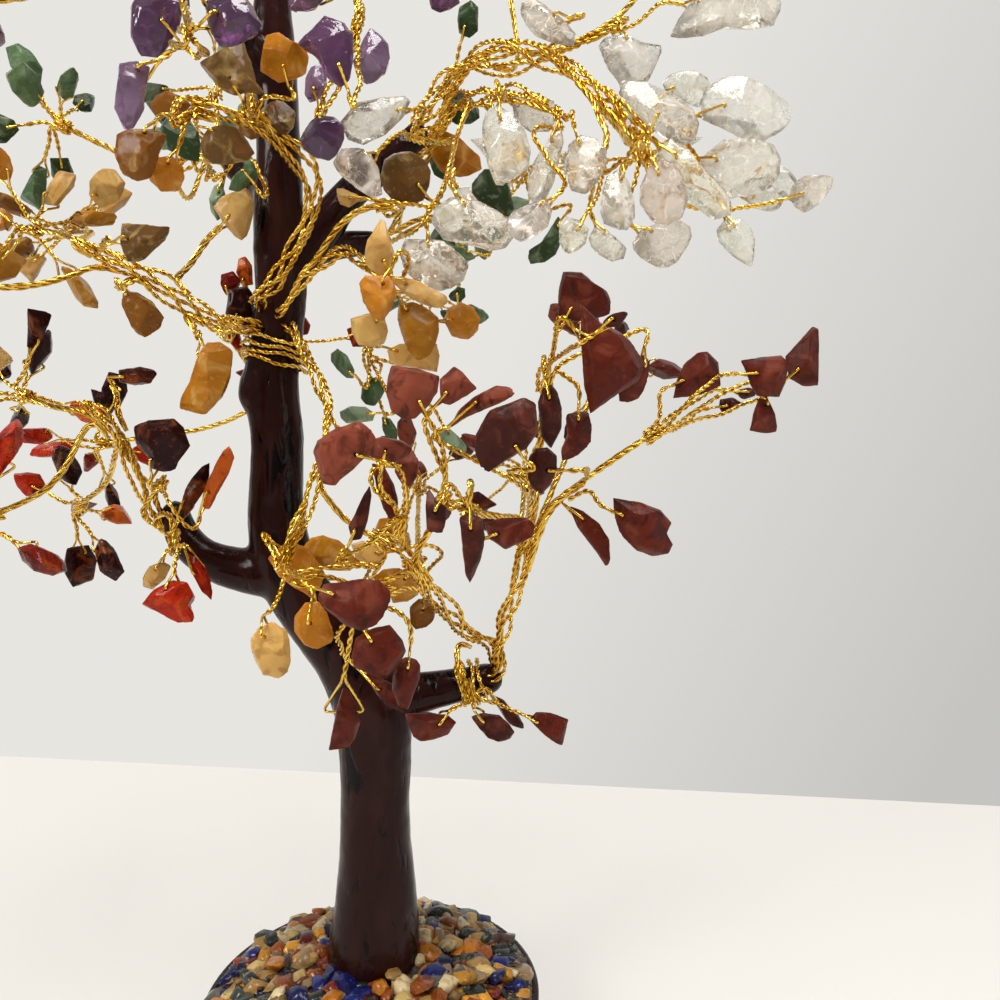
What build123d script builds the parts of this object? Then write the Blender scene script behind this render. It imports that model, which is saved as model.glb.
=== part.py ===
from build123d import *
import math
import os
import random
from dataclasses import dataclass, field

import numpy as np

# Gemstone tree ornament: a lacquered trunk on a round plinth, with ropes of gilt wire that carry drilled stone chips.
# Millimetres. The origin is the middle of the plinth's underside, +Z is up and -Y faces the viewer.

# Driving sizes of the base and trunk
PLINTH_RADIUS = 38.0
PLINTH_HEIGHT = 17.5
PLINTH_EDGE = 0.8
RECESS_RADIUS = 36.6
RECESS_DEPTH = 3.0
MOUND_HEIGHT = 6.5
MOUND_TOP = 9.0
MOUND_SLOPE = math.atan2(MOUND_HEIGHT, RECESS_RADIUS - MOUND_TOP)
CORE_RADIUS = 2.1
CORE_DEPTH = 11.0

# Driving sizes of the wire
WIRE_RADIUS = 0.28
PAIR_RADIUS = 0.5
STEM_RADIUS = 0.75
HOLE_RADIUS = 0.5
WIRE_GAP = 0.12
PEEL = 4.0
STEM_LEAVE = 0.5
TWIG_LEAVE = 1.0
NECK_RUN = 2.0
LOOP_FEET = 0.7
LOOP_SPREAD = 0.9
HUNG_SPREAD = 2.0
LOOP_BEND = 0.45

# How a tube turns: runs that turn less than STRAIGHT are one, and no arc is tighter than TIGHTEST of the tube's radius
STRAIGHT = math.radians(2)
SHARP = math.radians(100)
RUN_SHARE = 0.45
TIGHTEST = 1.15
SQUARE = 2.8

# The photograph's eye, which turns a pixel and a depth into millimetres
FOCAL_PX = 755.0
MIDDLE_PX = 500.0
EYE_X = 29.0
EYE_BACK = 175.4
EYE_Z = 130.0
FRAME_PX = (125, 875)

# Spacing that keeps stones and wires apart
CLEAR = 0.3
STEP = 1.0
NEAR = 6.0
ROD_ROWS = 4096
TWIG_ENDS = 3
DEPTH_SHIFTS = (0, 2, -2, 4, -4, 6, -6, 9, -9, 12, -12, 16, -16, 20, 24)
BENDS = ((1.2, 0), (-1.6, 0.8), (0.4, -2.2), (2.4, 2.4), (-3.2, -2.4), (4, -1.6), (-0.8, 4.8), (5, 4), (-6, 2.4), (1.6, -6.5),
         (8, -3), (-8, -6), (3, 10), (-3, 8), (7, 7), (-10, 2), (2, -11), (-6, -9), (11, 4), (-7, 11), (10, -9), (0, 14))

# Driving sizes of the chips
CHIP_THICK = (2.6, 4.6)
THICK_SHARE = 0.3
THICK_BASE = 1.3
HOLE_SHARES = (0.22, 0.27, 0.32, 0.37, 0.43, 0.5)
HOLE_INSET = 2.0
HOLE_ROOM = 1.45

# Trunk and branches: each is a spine of (x, y, z, radius)
SPINES = {
    "trunk": [
        (0, 0, 11.5, 11.5), (0, 0, 20, 11.2), (0.2, 0, 34, 9.9), (0.2, 0, 48, 8.4), (0, 0, 62, 7.9), (0, 0, 76, 8.6),
        (-2.6, 0, 87, 8.4), (-9, 0, 97, 7.6), (-16, 0, 106, 7.3), (-21.5, 0, 117, 6.9), (-23, 0, 131, 6.3),
        (-23.6, 0, 152, 6.1), (-22.8, 0, 168, 5.8), (-22, 0, 186, 5.9), (-22.4, 0, 204, 5.5), (-22.8, 0, 224, 4.9),
        (-23.8, 0, 246, 4.1), (-24, 0, 258, 3.6),
    ],
    "right_stub": [(-2, 0, 80, 6.6), (6, 0, 84, 5.4), (14, 0, 86, 4.4), (26, 0, 88.5, 3.7)],
    "left_branch": [
        (-19, 0, 112, 6.2), (-29, 0, 113.5, 5.4), (-37, 0, 115.5, 4.6), (-43, 0, 119.5, 3.9), (-46.5, 0, 126.5, 3.4),
    ],
    "high_branch": [(-21, 0, 184, 5.0), (-13.5, 2, 193, 4.6), (-6, 5, 204, 4.0), (2, 7, 212, 3.5), (9, 8, 218.5, 3.1)],
    "back_stub": [(-22, 0, 186, 5.0), (-14, 7, 191, 3.8), (-3, 13, 194, 3.0)],
    "far_stub": [(-23, 0, 136, 5.4), (-25, 8, 143, 4.0), (-27, 17, 149, 3.2)],
    "left_stub": [(-22.5, 0, 198, 4.8), (-29, 5, 205, 3.6), (-36, 9, 211, 2.9)],
    "front_stub": [(-23, 0, 226, 4.4), (-28, -6, 232, 3.4), (-32, -13, 236, 2.8)],
}
TIP_SHARE = 0.98
KNOB_PLACE = (-27.6, -0.6, 155.5)
KNOB_RADII = (3.8, 4.2, 6.2)
WINDING_SPAN = (11, 12)
WINDING_LOW = 160.8
WINDING_PITCH = 1.5
WINDING_TURNS = 4
WINDING_RADIUS = 7.1
STUB_WINDING_TURNS = 4
STUB_WINDING_STAND = 1.2
STUB_WINDING_BACK = 0.8


def at(px, py, y):
    """The point at depth y that the photograph shows at a pixel."""
    reach = EYE_BACK + y
    return np.array([EYE_X + (px - MIDDLE_PX) / FOCAL_PX * reach, y, EYE_Z - (py - MIDDLE_PX) / FOCAL_PX * reach])


def mm(x, y, z):
    """A point in millimetres."""
    return np.array([x, y, z], float)


@dataclass
class Seen:
    """A chip that the photograph shows: its middle as a pixel and a depth, the turn in degrees of its long axis from the
    wired end, and its outline in millimetres as (along, leftwards) from the middle."""

    px: float
    py: float
    y: float
    turn: float
    outline: list


@dataclass
class Fan:
    """A stem of wire that leaves a rope at one of the rope's points, and the chips at the stem's end."""

    rope_point: int
    stem: list
    chips: list


@dataclass
class Plan:
    """One limb: the radius and points of its rope, and its fans."""

    name: str
    radius: float
    rope: list
    fans: list


@dataclass
class Hung:
    """A chip that hangs in an open loop and can swing: the pair that holds it, its hole, and its outline in millimetres as
    (down, rightwards) from the hole. A chip that is drilled across has its hole through its width."""

    node: str
    limb: str
    rope_point: int
    pair: list
    hole: np.ndarray
    outline: list
    thick: float
    swing: float
    drilled_across: bool = False


# Outlines of the chips that the photograph doesn't show, as shares: the wired end is at -1 and the free end at +1
FORMS = [
    [(-1, -0.5), (-0.95, 0.5), (-0.35, 1), (0.55, 0.92), (1, 0.35), (0.88, -0.62), (0.05, -1)],
    [(-1, -0.3), (-0.95, 0.35), (-0.5, 0.85), (0.2, 1), (0.8, 0.62), (1, -0.1), (0.62, -0.8), (-0.35, -0.95)],
    [(-1, -0.42), (-0.95, 0.5), (-0.3, 1), (0.45, 0.55), (1, 0.08), (0.4, -0.6), (-0.35, -0.95)],
    [(-1, -0.32), (-1, 0.3), (0.1, 0.66), (0.95, 1), (1, -0.85), (0, -0.66)],
    [(-1, -0.72), (-0.92, 0.85), (0.25, 1), (1, 0.62), (0.92, -0.8), (-0.1, -1)],
    [(-1, -0.75), (-0.85, 0.85), (-0.1, 0.5), (0.5, 0.6), (1, 0.95), (0.8, -0.35), (0, -0.85)],
]

# The limbs that the photograph shows
LIMBS = [
    Plan("jasper_right", 1.15, [
        mm(19, -1.8, 86.9), mm(28.8, -1.8, 89.4), at(494, 650, -4), at(506, 617, -7),
        at(517, 583, -9), at(524, 552, -12), at(531, 519, -17)], [
        Fan(5, [at(548, 508, -17), at(600, 468, -14), at(660, 429, -12)], [
            Seen(698, 376, -14, 20, [(0.6, 5), (3.8, 4.3), (5.2, 1.3), (4, -3.8), (-1.6, -4), (-6.8, -2.7),
                (-4.3, 1.1), (-2, 3.5)]),
            Seen(767, 375, -15, -2, [(-5.9, 2.9), (-1.6, 3.7), (2.8, 4.3), (4.6, 2.9), (4.1, -1.4),
                (2.9, -4.6), (-2, -4.6), (-3.5, -2.1), (-4.5, 0.6)]),
            Seen(805, 360, -8, 47, [(-2.3, 3.7), (1.8, 3.8), (6.4, 4.1), (6.9, 2.8), (3.5, -0.7),
                (-2.1, -6.1), (-4.3, -3.9), (-5.3, -0.3)]),
            Seen(764, 418, -11, -88, [(-4.6, -1.1), (-4.1, 1.3), (-1.2, 2.3), (3.1, 3.3), (3.5, 0.4),
                (2.7, -3.5), (-1.4, -2.3)]),
            Seen(747, 393, -2, -8, [(-2.3, 0.4), (0.1, 1.4), (2.2, 1), (2.2, -0.4), (-0.4, -1.6),
                (-1.9, -0.9)]),
            Seen(729, 405, 2, 9, [(-2.4, 0.1), (-1.9, 1.7), (1, 1.7), (3.1, -0.1), (1.9, -1.3),
                (-1.8, -1.9)])]),
        Fan(6, [at(552, 502, -22), at(582, 484, -24)], [
            Seen(643, 527, -26, -27, [(-8, 2.5), (-2.6, 4.2), (1.6, 4.6), (4.7, 3.4), (4.9, 1), (6.9, -0.4),
                (6.9, -2.5), (4.3, -4.4), (1, -4.8), (-3.3, -3.5), (-6, -0.9)]),
            Seen(593, 534, -20, -49, [(-7.8, 0.1), (-5.1, 1.6), (-0.8, 2.5), (3.2, 1.8), (6.4, -0.8),
                (7.1, -2.5), (2.4, -1.9), (-3.5, -1.5)]),
            Seen(542, 469, -38, 177, [(2.6, -1.9), (1.4, -3.8), (-0.7, -4.1), (-2.5, -2.7), (-2.8, 0),
                (-1.9, 2.9), (-0.3, 4.7), (1.6, 3.7), (2.6, 1.4)])]),
        Fan(6, [at(540, 470, -16), at(541, 420, -20), at(546, 372, -24)], [
            Seen(582, 298, -18, 54, [(2.4, 6.8), (4.5, 3.4), (4, -0.5), (4.1, -3.5), (2.6, -5.7),
                (0.3, -7.3), (-4.9, -1.8), (-5.6, 2.1), (-1.2, 5.2)]),
            Seen(607, 361, -36, -43, [(-10.8, 4.2), (-5.7, 4.4), (-1.8, 5.8), (2.6, 6.1), (5.7, 5),
                (6.9, 1.5), (5.7, -3.1), (4.3, -9.5), (-0.2, -6.4), (-6.3, -0.7)]),
            Seen(636, 382, -24, -96, [(-5.8, 0.8), (-4, 2.6), (-0.3, 2.6), (2.8, 1.7), (4.3, -0.8),
                (4.3, -3), (1.9, -3.4), (-1.5, -1.3)]),
            Seen(615, 320, -44, 34, [(-2.5, 1.5), (0.1, 1), (2.8, 0), (2.7, -1), (0, -1.1), (-2.1, -0.5)]),
            Seen(550, 415, -34, -82, [(-2.6, -2), (-5.1, -0.7), (-5.6, 1), (-4, 2.1), (-0.9, 2.5),
                (2.8, 1.8), (6.4, -0.6), (3.8, -2.3)]),
            Seen(577, 434, -26, -93, [(-4.1, -2.6), (-5, -0.4), (-4.6, 2.2), (-1.8, 2.9), (1.7, 3.1),
                (4.6, 0.3), (5.6, -2.7), (3, -3), (0.2, -1.9)])]),
        Fan(6, [at(530, 500, -32), at(527, 488, -38)], [
            Seen(505, 434, -47, 130, [(3.2, 3.8), (4.9, -0.5), (3.7, -4.3), (2.9, -6.6), (0.6, -7.3),
                (-3.4, -4.7), (-4.3, -1.2), (-3.6, 3.4), (-3.2, 7.6), (-1.4, 7.8), (1.3, 5.8)]),
            Seen(484, 402, -39, 34, [(-7.8, -0.3), (-5, 1.5), (-0.8, 1.9), (3.6, 1.3), (5.4, -0.5),
                (6.1, -2.4), (3.2, -2.1), (-0.7, -1.2), (-5, -0.4)])]),
        Fan(6, [at(500, 517, -34), at(462, 512, -44)], [
            Seen(472, 543, -56, -88, [(-4.2, -1.8), (-5, -0.1), (-3.9, 1.9), (-0.8, 2.1), (2.4, 1.4),
                (5.3, 0.2), (6.6, -0.6), (5.3, -1.2), (1.3, -1.6)]),
            Seen(510, 531, -42, 17, [(-4.1, 2.6), (-1.1, 2.8), (3.4, 1.6), (4.8, -0.3), (3.5, -2.1),
                (1.3, -2.6), (-1.7, -2.9), (-3.9, -0.4)]),
            Seen(435, 515, -50, -112, [(-4.2, -3.1), (-2.4, -0.6), (-2.1, 1.3), (0.4, 2.2), (2.6, 2.5),
                (3.5, 1.2), (2.8, -0.5), (-0.4, -1.9)]),
            Seen(477, 503, -36, -6, [(-3.1, -0.8), (-2, 1.5), (0, 2.3), (2.3, 1), (3.9, 0.1), (1.4, -1.5),
                (-1.5, -2.1)])]),
    ]),
    Plan("jasper_front", 1.1, [
        mm(19, 1.8, 86.9), mm(28.6, 1.8, 89.2), mm(28.8, 0.6, 94.8), at(462, 633, -8),
        at(443, 604, -16), at(422, 580, -24), at(404, 562, -31)], [
        Fan(6, [at(400, 540, -36), at(406, 516, -38)], [
            Seen(343, 451, -50, 165, [(4.7, 1.5), (4.6, -0.6), (2.2, -3.3), (-1.7, -5.8), (-3.7, -4.9),
                (-4.9, -3.2), (-4.2, -0.4), (-2.3, 2.7), (-0.8, 4.8), (-0.2, 6.2), (1.9, 6.1), (3.1, 4.1)]),
            Seen(387, 450, -43, 77, [(0.9, 3.9), (2.1, 1.7), (2.3, -2.2), (1.5, -4.2), (-0.5, -3.9),
                (-2.2, -1.4), (-2.5, 1.7), (-1.7, 3.7)]),
            Seen(407, 466, -37, 0, [(-2, 2.9), (0.2, 3.7), (1.8, 3), (2.4, 0.8), (2, -1.8), (0.8, -4),
                (-0.9, -3.7), (-2.4, -1.1)]),
            Seen(386, 491, -36, -71, [(-5.9, -0.9), (-4.4, 1.2), (-0.7, 1.8), (2.7, 1.5), (5.1, 0.5),
                (5.6, -1.1), (2.9, -1.5), (-1, -1.5)]),
            Seen(361, 517, -44, 62, [(5.8, 1.3), (4.4, 0.2), (-0.1, -1.4), (-3.4, -1.8), (-4.5, -0.6),
                (-2.6, 1.2), (0.6, 1.1), (4.1, 1.4)])]),
        Fan(6, [at(424, 540, -37), at(450, 492, -41)], [
            Seen(411, 391, -48, 122, [(4, 2.2), (5.4, 0.5), (2.5, -3.2), (-0.3, -5.7), (-2.4, -3.8),
                (-3.7, -1.4), (-4.4, 2), (-3.5, 3.6), (-1.2, 4.7), (1.5, 3.9)]),
            Seen(455, 387, -42, 45, [(-1.1, 2.9), (2.6, 2.8), (2.9, 1.1), (2.7, -1.1), (2.8, -3),
                (0.2, -2.6), (-3.2, -1.7), (-3.9, -0.3)])]),
        Fan(6, [at(392, 580, -38), at(372, 586, -40)], [
            Seen(357, 602, -50, -18, [(-6.5, -1.4), (-6.5, 1.1), (-3, 2.6), (-0.5, 4.1), (2.4, 4.7),
                (4.7, 3.4), (5.9, 0.3), (4.5, -2.5), (2.3, -4.3), (-0.5, -4.3), (-4.5, -2.7)]),
            Seen(379, 652, -42, -57, [(-2.1, -4.4), (-4.5, -1.9), (-4.1, 1.7), (-2.9, 4.2), (0.8, 4.6),
                (2.7, 4), (4.3, 1.3), (4.9, -1.6), (2.5, -3.4), (-0.2, -5)]),
            Seen(406, 681, -38, -97, [(-3, -1.9), (-4.3, -1), (-4.6, 1), (-3.1, 2.3), (-0.5, 2.5),
                (2.5, 1.6), (5.3, 1), (4.6, -0.9), (1.9, -2.3), (-1.1, -2.5)]),
            Seen(385, 691, -26, -37, [(-5.8, -0.1), (-3.2, 1.4), (0.2, 2), (5.8, -1), (3.1, -1.8),
                (-1.3, -1.2)])]),
        Fan(3, [at(456, 650, -10), at(460, 676, -13), at(470, 698, -13)], [
            Seen(430, 726, -18, -141, [(2.1, -5.5), (-1.8, -2.3), (-4.6, 0.8), (-4.7, 3), (-2.9, 3.5),
                (-1.4, 4.4), (1.1, 3.2), (3.7, 1.3), (4.3, -0.5), (3.3, -3)]),
            Seen(494, 727, -16, -47, [(-5, -2), (-4.3, 0.3), (-1.4, 2.8), (1.9, 2.9), (3.9, 2.5),
                (4.5, 0.7), (3.5, -1.5), (1.2, -2.8), (-2.1, -2.6)]),
            Seen(508, 713, -7, -48, [(-6, -0.5), (-5.4, 1.1), (-0.8, 0.9), (5.1, 1.5), (5.7, -0.9),
                (1.6, -1.1), (-3.4, -1.3)]),
            Seen(551, 726, -14, -21, [(-4.9, -0.4), (-4.1, 1.6), (-1.1, 2.7), (3, 2.7), (3.4, 0.1),
                (3.9, -3.2), (2.3, -3.1), (-1.6, -2)])]),
    ]),
    Plan("citrine_low", 0.8, [
        mm(-20.4, -3.4, 169.4), mm(-16.2, -9.4, 168.6), at(306, 360, -12), at(322, 382, -14),
        at(331, 422, -18), at(322, 466, -23), at(306, 503, -24), at(292, 535, -25),
        at(285, 558, -25)], [
        Fan(7, [at(283, 554, -28), at(281, 564, -29)], [
            Seen(298, 568, -22, -46, [(-5.8, -3.2), (-5.8, 0.1), (-4.8, 3.1), (-2.3, 4.1), (0.8, 4.3),
                (4.5, 3.5), (6, 0.9), (6.2, -2.4), (2.9, -3.4), (-1.5, -4.3)]),
            Seen(330, 554, -16, 164, [(5.8, -0.2), (4.7, -2.5), (2.4, -3.6), (-1.2, -3.5), (-4.2, -2),
                (-6.3, 0.5), (-5, 2.4), (-1, 3.6), (2.2, 3.3), (4.8, 1.9)])]),
        Fan(5, [at(318, 488, -23), at(350, 526, -22), at(388, 543, -21)], [
            Seen(368, 555, -14, -172, [(3.4, -2.9), (0.7, -3.3), (-2.4, -1.2), (-3.9, 0.4), (-2.8, 2.4),
                (0.2, 3.4), (2.5, 1.4)]),
            Seen(399, 584, -12, -136, [(3.3, -5.1), (0, -4.8), (-2.5, -2.4), (-4.2, 2.1), (-1.5, 4.6),
                (1.3, 4.1), (3.9, 2.1), (2.3, -1.1)]),
            Seen(422, 614, -4, -97, [(-1.5, -3), (-3.6, -1.2), (-3.5, 1.8), (-1.4, 3.2), (1, 2.8),
                (3.4, 1.5), (4.1, -0.7), (2.5, -2.5)]),
            Seen(386, 530, -9, 148, [(2.2, 1.8), (2.6, -1.3), (0.4, -3.2), (-2, -1.8), (-2.7, 0.9),
                (-1, 3.2)]),
            Seen(403, 539, -8, 33, [(0.5, 3), (1.9, 0.5), (1.2, -1.7), (-1.1, -2.3), (-2.1, -0.3)])]),
    ]),
    Plan("citrine_high", 0.8, [
        mm(-21.6, -3.4, 172.4), mm(-19.2, -9.6, 171.4), at(289, 304, -10), at(301, 281, -10.5),
        at(321, 260, -12), at(345, 249, -16), at(366, 262, -20)], [
        Fan(6, [at(380, 274, -22), at(392, 288, -23)], [
            Seen(380, 250, -32, 107, [(-0.3, 3.2), (2.4, 1.8), (4.5, -0.7), (6, -2.1), (4.7, -2.7),
                (1.2, -2.4), (-1.8, -2.5), (-4.1, -1.4), (-4.6, 1.4), (-2.5, 3.3)]),
            Seen(370, 330, -24, -133, [(1, -4.3), (-1.2, -3.1), (-3.3, -1.7), (-4, 0.7), (-2.6, 2.8),
                (0, 3.9), (2.3, 2.8), (4, 0.5), (3, -2.1)]),
            Seen(378, 295, -30, -117, [(-0.3, -4.3), (-2.5, -3.8), (-4.4, 0.2), (-2.8, 2.6), (0.4, 3.6),
                (4.3, 3.1), (4.3, 0.6), (2.3, -2.3)]),
            Seen(418, 329, -18, -59, [(-7, -0.8), (-5.9, 1.9), (-3, 3.9), (0.2, 4.9), (2.5, 3.8),
                (4.9, 1.3), (6.4, -1), (5.9, -3.6), (3, -4.3), (-0.8, -3.5), (-4.2, -2.7)]),
            Seen(420, 292, -32, -23, [(-7.2, 0.4), (-5.3, 1.6), (-2.5, 1.9), (1.8, 1.5), (5.4, 1.2),
                (6, -0.2), (5.1, -1.8), (1.6, -2.1), (-2.5, -1.5)]),
            Seen(416, 356, -12, -15, [(-6.5, -0.4), (-4.1, 1.6), (0.8, 3.3), (3.8, 3.7), (5.1, 1.4),
                (5.4, -2.2), (2.4, -2.5), (-2.9, -3), (-5.2, -2.7)]),
            Seen(462, 321, -16, 2, [(-4, 0.2), (-3, 2.7), (-0.2, 4.1), (2.7, 2.8), (3.9, 0.2), (3.4, -2.1),
                (1.2, -4), (-2.2, -3.4)])]),
        Fan(4, [at(337, 226, -16), at(362, 207, -18), at(394, 204, -18)], [
            Seen(406, 178, -12, 140, [(4.2, 3.6), (6.1, 0.1), (5.4, -2.5), (3, -5.1), (-0.9, -5.8),
                (-3.1, -4.8), (-5, -1.9), (-6, 1.2), (-4.5, 4.2), (-1, 5.7), (2, 5.2)]),
            Seen(454, 156, -8, 73, [(0.9, 5.5), (3.7, 5.7), (4.5, 3.5), (4.1, -0.1), (1.7, -5.5),
                (-0.5, -6.8), (-3, -4.4), (-5, -0.6), (-4.3, 2), (-2.1, 4.4)]),
            Seen(347, 198, -10, 176, [(2.5, -2.1), (1, -2), (-2.4, -0.7), (-2.9, 0.4), (-0.6, 2.1),
                (1.6, 1.6)])]),
    ]),
    Plan("citrine_left", 0.95, [
        mm(-24.6, -3.6, 173.4), mm(-25.6, -9.4, 174.2), at(270, 290, -10), at(291, 262, -10.5),
        at(307, 226, -10.5), at(314, 186, -13), at(298, 157, -18), at(273, 134, -23),
        at(247, 118, -28), at(215, 112, -33), at(192, 106, -36)], [
        Fan(10, [at(184, 112, -38), at(178, 120, -39)], [
            Seen(169, 105, -36, 178, [(3.7, 0), (2.8, -1.8), (-0.1, -2.1), (-3.1, -1.3), (-4.6, 0.2),
                (-2.4, 1.3), (0.7, 2.3), (2.9, 1.7)]),
            Seen(139, 152, -44, -116, [(-0.9, -4.5), (-2.9, -3.2), (-4.7, 0.2), (-5.3, 3), (-2.2, 2.9),
                (0.7, 3.4), (3.2, 3.7), (4.8, 2.1), (4.9, -0.6), (2.4, -3.3)]),
            Seen(167, 174, -42, -111, [(0.2, -3.2), (-2.2, -2.5), (-3.4, -0.2), (-2.1, 2.2), (-0.2, 3.3),
                (2.1, 2.7), (3.3, 0.1), (2.3, -2.3)]),
            Seen(226, 146, -38, -34, [(-3.7, -2.6), (-4.3, 0.3), (-2.8, 2.9), (0.1, 4.2), (2.4, 3.3),
                (4.7, 2.2), (4.6, 0.4), (2.8, -2.1), (0.1, -4.4), (-2, -4.1)])]),
        Fan(8, [at(246, 106, -30), at(252, 96, -31)], [
            Seen(233, 71, -40, 108, [(3.6, 5.6), (3.9, 2.3), (4, -1.1), (3.9, -3.7), (0.1, -3.8),
                (-3.6, -3.6), (-6.1, -4.3), (-4.4, -1.3), (-4.2, 1.1), (-2.2, 3.1), (0.9, 4.6)]),
            Seen(277, 119, -24, 1, [(-3.4, 2), (-1.2, 3.6), (1.8, 3.3), (3.8, 1.1), (3.5, -1.7),
                (1.7, -3.5), (-1.3, -3.4), (-3.7, -1.6)]),
            Seen(284, 59, -32, 105, [(5.1, 2.2), (5, -0.5), (3, -2.1), (1.3, -4.6), (-1.1, -4.8),
                (-3.9, -3.6), (-4.4, -0.2), (-4.1, 2.3), (-0.9, 5), (2.7, 3.5)]),
            Seen(249, 128, -14, -98, [(-1.1, -3.8), (-2.4, -0.5), (-0.7, 2.7), (1, 3.8), (2.4, 0.6),
                (1.3, -2.2)])]),
    ]),
    Plan("citrine_outer", 1.25, [
        mm(-25, -3.6, 168.9), mm(-27.4, -9.4, 168.3), at(222, 328, -9), at(196, 309, -9),
        at(168, 288, -11), at(140, 270, -13), at(104, 258, -15), at(72, 240, -16)], [
        Fan(4, [at(186, 272, -8), at(206, 240, -7), at(221, 226, -7)], [
            Seen(237, 213, -9, 47, [(-2.8, 4.2), (0.2, 4.6), (5.6, 2.4), (4.5, -0.7), (1.8, -2.9),
                (-2.1, -5.2), (-4, -5.4), (-4.1, -3.4), (-3.7, 0.3)])]),
        Fan(3, [at(194, 326, -12), at(198, 338, -15)], [
            Seen(208, 379, -21, -78, [(-6.3, -0.3), (-7.4, 1.4), (-6.8, 4.2), (-4.5, 6.4), (0, 4.8),
                (4.7, 1.5), (7.3, -2.2), (6.2, -4.3), (4.7, -7.3), (3.3, -7), (0.2, -4), (-3.1, -1.9)])]),
        Fan(5, [at(126, 284, -17), at(118, 289, -18)], [
            Seen(142, 313, -24, -54, [(-6.2, -0.4), (-4, 1.7), (-0.8, 3.1), (3.4, 3.1), (4.6, 1.2),
                (4.4, -2.4), (2.6, -3.3), (-0.2, -2.7), (-3.8, -2.1)])]),
        Fan(6, [at(104, 244, -20), at(108, 238, -22)], [
            Seen(140, 239, -26, 4, [(-3.7, 3.6), (0.7, 2.9), (6.5, 1.6), (5.2, -0.5), (1.9, -1.9),
                (-0.6, -3.9), (-3, -4.4), (-4.3, -0.7)])]),
    ]),
    Plan("carnelian_left", 1.15, [
        mm(-43.5, 0, 118.5), mm(-50.4, -0.3, 124.6), at(145, 498, -5), at(134, 474, -9),
        at(124, 446, -12), at(108, 418, -13), at(84, 402, -13)], [
        Fan(2, [at(160, 482, -10), at(164, 476, -11)], [
            Seen(162, 443, -20, 71, [(1.3, 6.9), (3.5, 4.2), (5.7, -0.9), (4.6, -3.3), (1.4, -5.9),
                (-2.6, -4.5), (-4.4, -4.3), (-5.8, -2.1), (-6, 0.2), (-3.9, 1.8), (-2.1, 5.3)]),
            Seen(195, 491, -10, 62, [(-6.6, 0.6), (-2.6, 1.4), (2.1, 1.9), (5.9, 1.4), (7.2, 0.3),
                (4.7, -1.2), (0, -1.7), (-3.4, -1.7), (-6.5, -1.4)]),
            Seen(218, 478, -14, 64, [(-5.4, 1.5), (-1.9, 1.8), (2.1, 1.4), (6.1, 1.4), (7.4, 0.7),
                (5.9, -1.5), (1.8, -1.9), (-2.8, -1.3), (-7.1, -1.2), (-7.4, 0.3)])]),
        Fan(1, [at(172, 512, -9), at(174, 538, -12), at(175, 548, -13)], [
            Seen(173, 602, -20, -89, [(0.5, -7.1), (-3.1, -3.5), (-4.5, -0.4), (-4, 3.1), (-1.3, 4.7),
                (0.7, 3.6), (3.2, 5.2), (4.8, 4.6), (4.8, 2.5), (3.3, -0.8), (1.8, -4)]),
            Seen(201, 576, -17, -63, [(-5.9, -0.3), (-4.4, 0.8), (-1.3, 1.4), (5.1, 0.5), (5.7, -0.6),
                (4, -1.1), (0.1, -1), (-3.2, -1)]),
            Seen(156, 575, -9, -112, [(1.7, -2.4), (-1.3, -2.1), (-3.4, 0.3), (-3.1, 2.4), (0.1, 2.2),
                (3.4, 0.5), (3.3, -1.7)])]),
        Fan(5, [at(118, 392, -10), at(112, 386, -9)], [
            Seen(137, 376, -12, 7, [(-3.8, 1.8), (1, 1.9), (4.1, 0.9), (4.4, -0.2), (2.7, -2), (-0.8, -2),
                (-4.1, -0.8)])]),
    ]),
    Plan("carnelian_back", 1.1, [
        mm(-26.2, 13.6, 146.8), mm(-28.6, 23.6, 153.6), mm(-30.5, 31, 158), mm(-33, 40, 160)], [
        Fan(1, [at(240, 352, 22), at(224, 332, 14), at(226, 322, 12)], [
            Seen(245, 272, 10, 88, [(-0.2, 2.3), (3, 1.5), (3.8, -0.2), (1.5, -2), (-3, -2), (-3.6, 0.7)]),
            Seen(230, 282, 6, 91, [(2.2, 2.3), (2.6, -0.8), (0.4, -2.9), (-1.9, -1.5), (-3.3, 1),
                (-0.7, 2.1)]),
            Seen(241, 306, 3, 74, [(2.9, 3.7), (5, -0.1), (3.2, -2.3), (-0.9, -3.5), (-4.2, -3.3),
                (-4.1, 0.7), (-2.8, 3), (0.5, 3.3)]),
            Seen(235, 339, 4, -61, [(-3.4, -0.8), (-1.5, 1.7), (3, 0.8), (2.9, -0.8), (0.3, -1.5)])]),
        Fan(2, [at(290, 342, 28), at(296, 334, 24)], [
            Seen(303, 327, 14, -26, [(-2.4, 0.8), (-0.5, 2.6), (1.5, 1.3), (2.2, -1.2), (-0.1, -2.8)])]),
    ]),
    Plan("quartz_right", 1.25, [
        mm(5.2, 6.2, 214.6), mm(13.4, 6.4, 222.8), at(455, 76, 0), at(488, 50, -4),
        at(524, 43, -8), at(560, 60, -11), at(596, 92, -14), at(626, 119, -16)], [
        Fan(7, [at(638, 126, -17), at(648, 130, -17)], [
            Seen(662, 113, -22, 58, [(-0.7, 9), (1.9, 9.5), (3.4, 7.1), (4.1, 3.7), (4.1, -0.6),
                (3.2, -4.8), (1, -7.4), (-2.9, -8.6), (-4.5, -7.2), (-4.5, -3.4), (-3.7, 0.5),
                (-2.1, 5.1)]),
            Seen(688, 88, -6, 12, [(-5.5, 2), (-3.9, 3.3), (-1.1, 3.6), (2, 2.8), (4.3, 0.7), (5, -1.1),
                (3.4, -3.5), (0.9, -4.4), (-2.2, -1.9), (-4.6, 0)]),
            Seen(744, 109, -14, 9, [(-9, 2.4), (-7.5, 4.8), (-4.6, 6.5), (-1.9, 7.1), (2.2, 5.8),
                (5.7, 3.1), (8.1, 0.6), (10.1, -1.9), (9.1, -3.7), (6.3, -5.4), (2.4, -6.9), (-1.8, -6.1),
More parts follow.
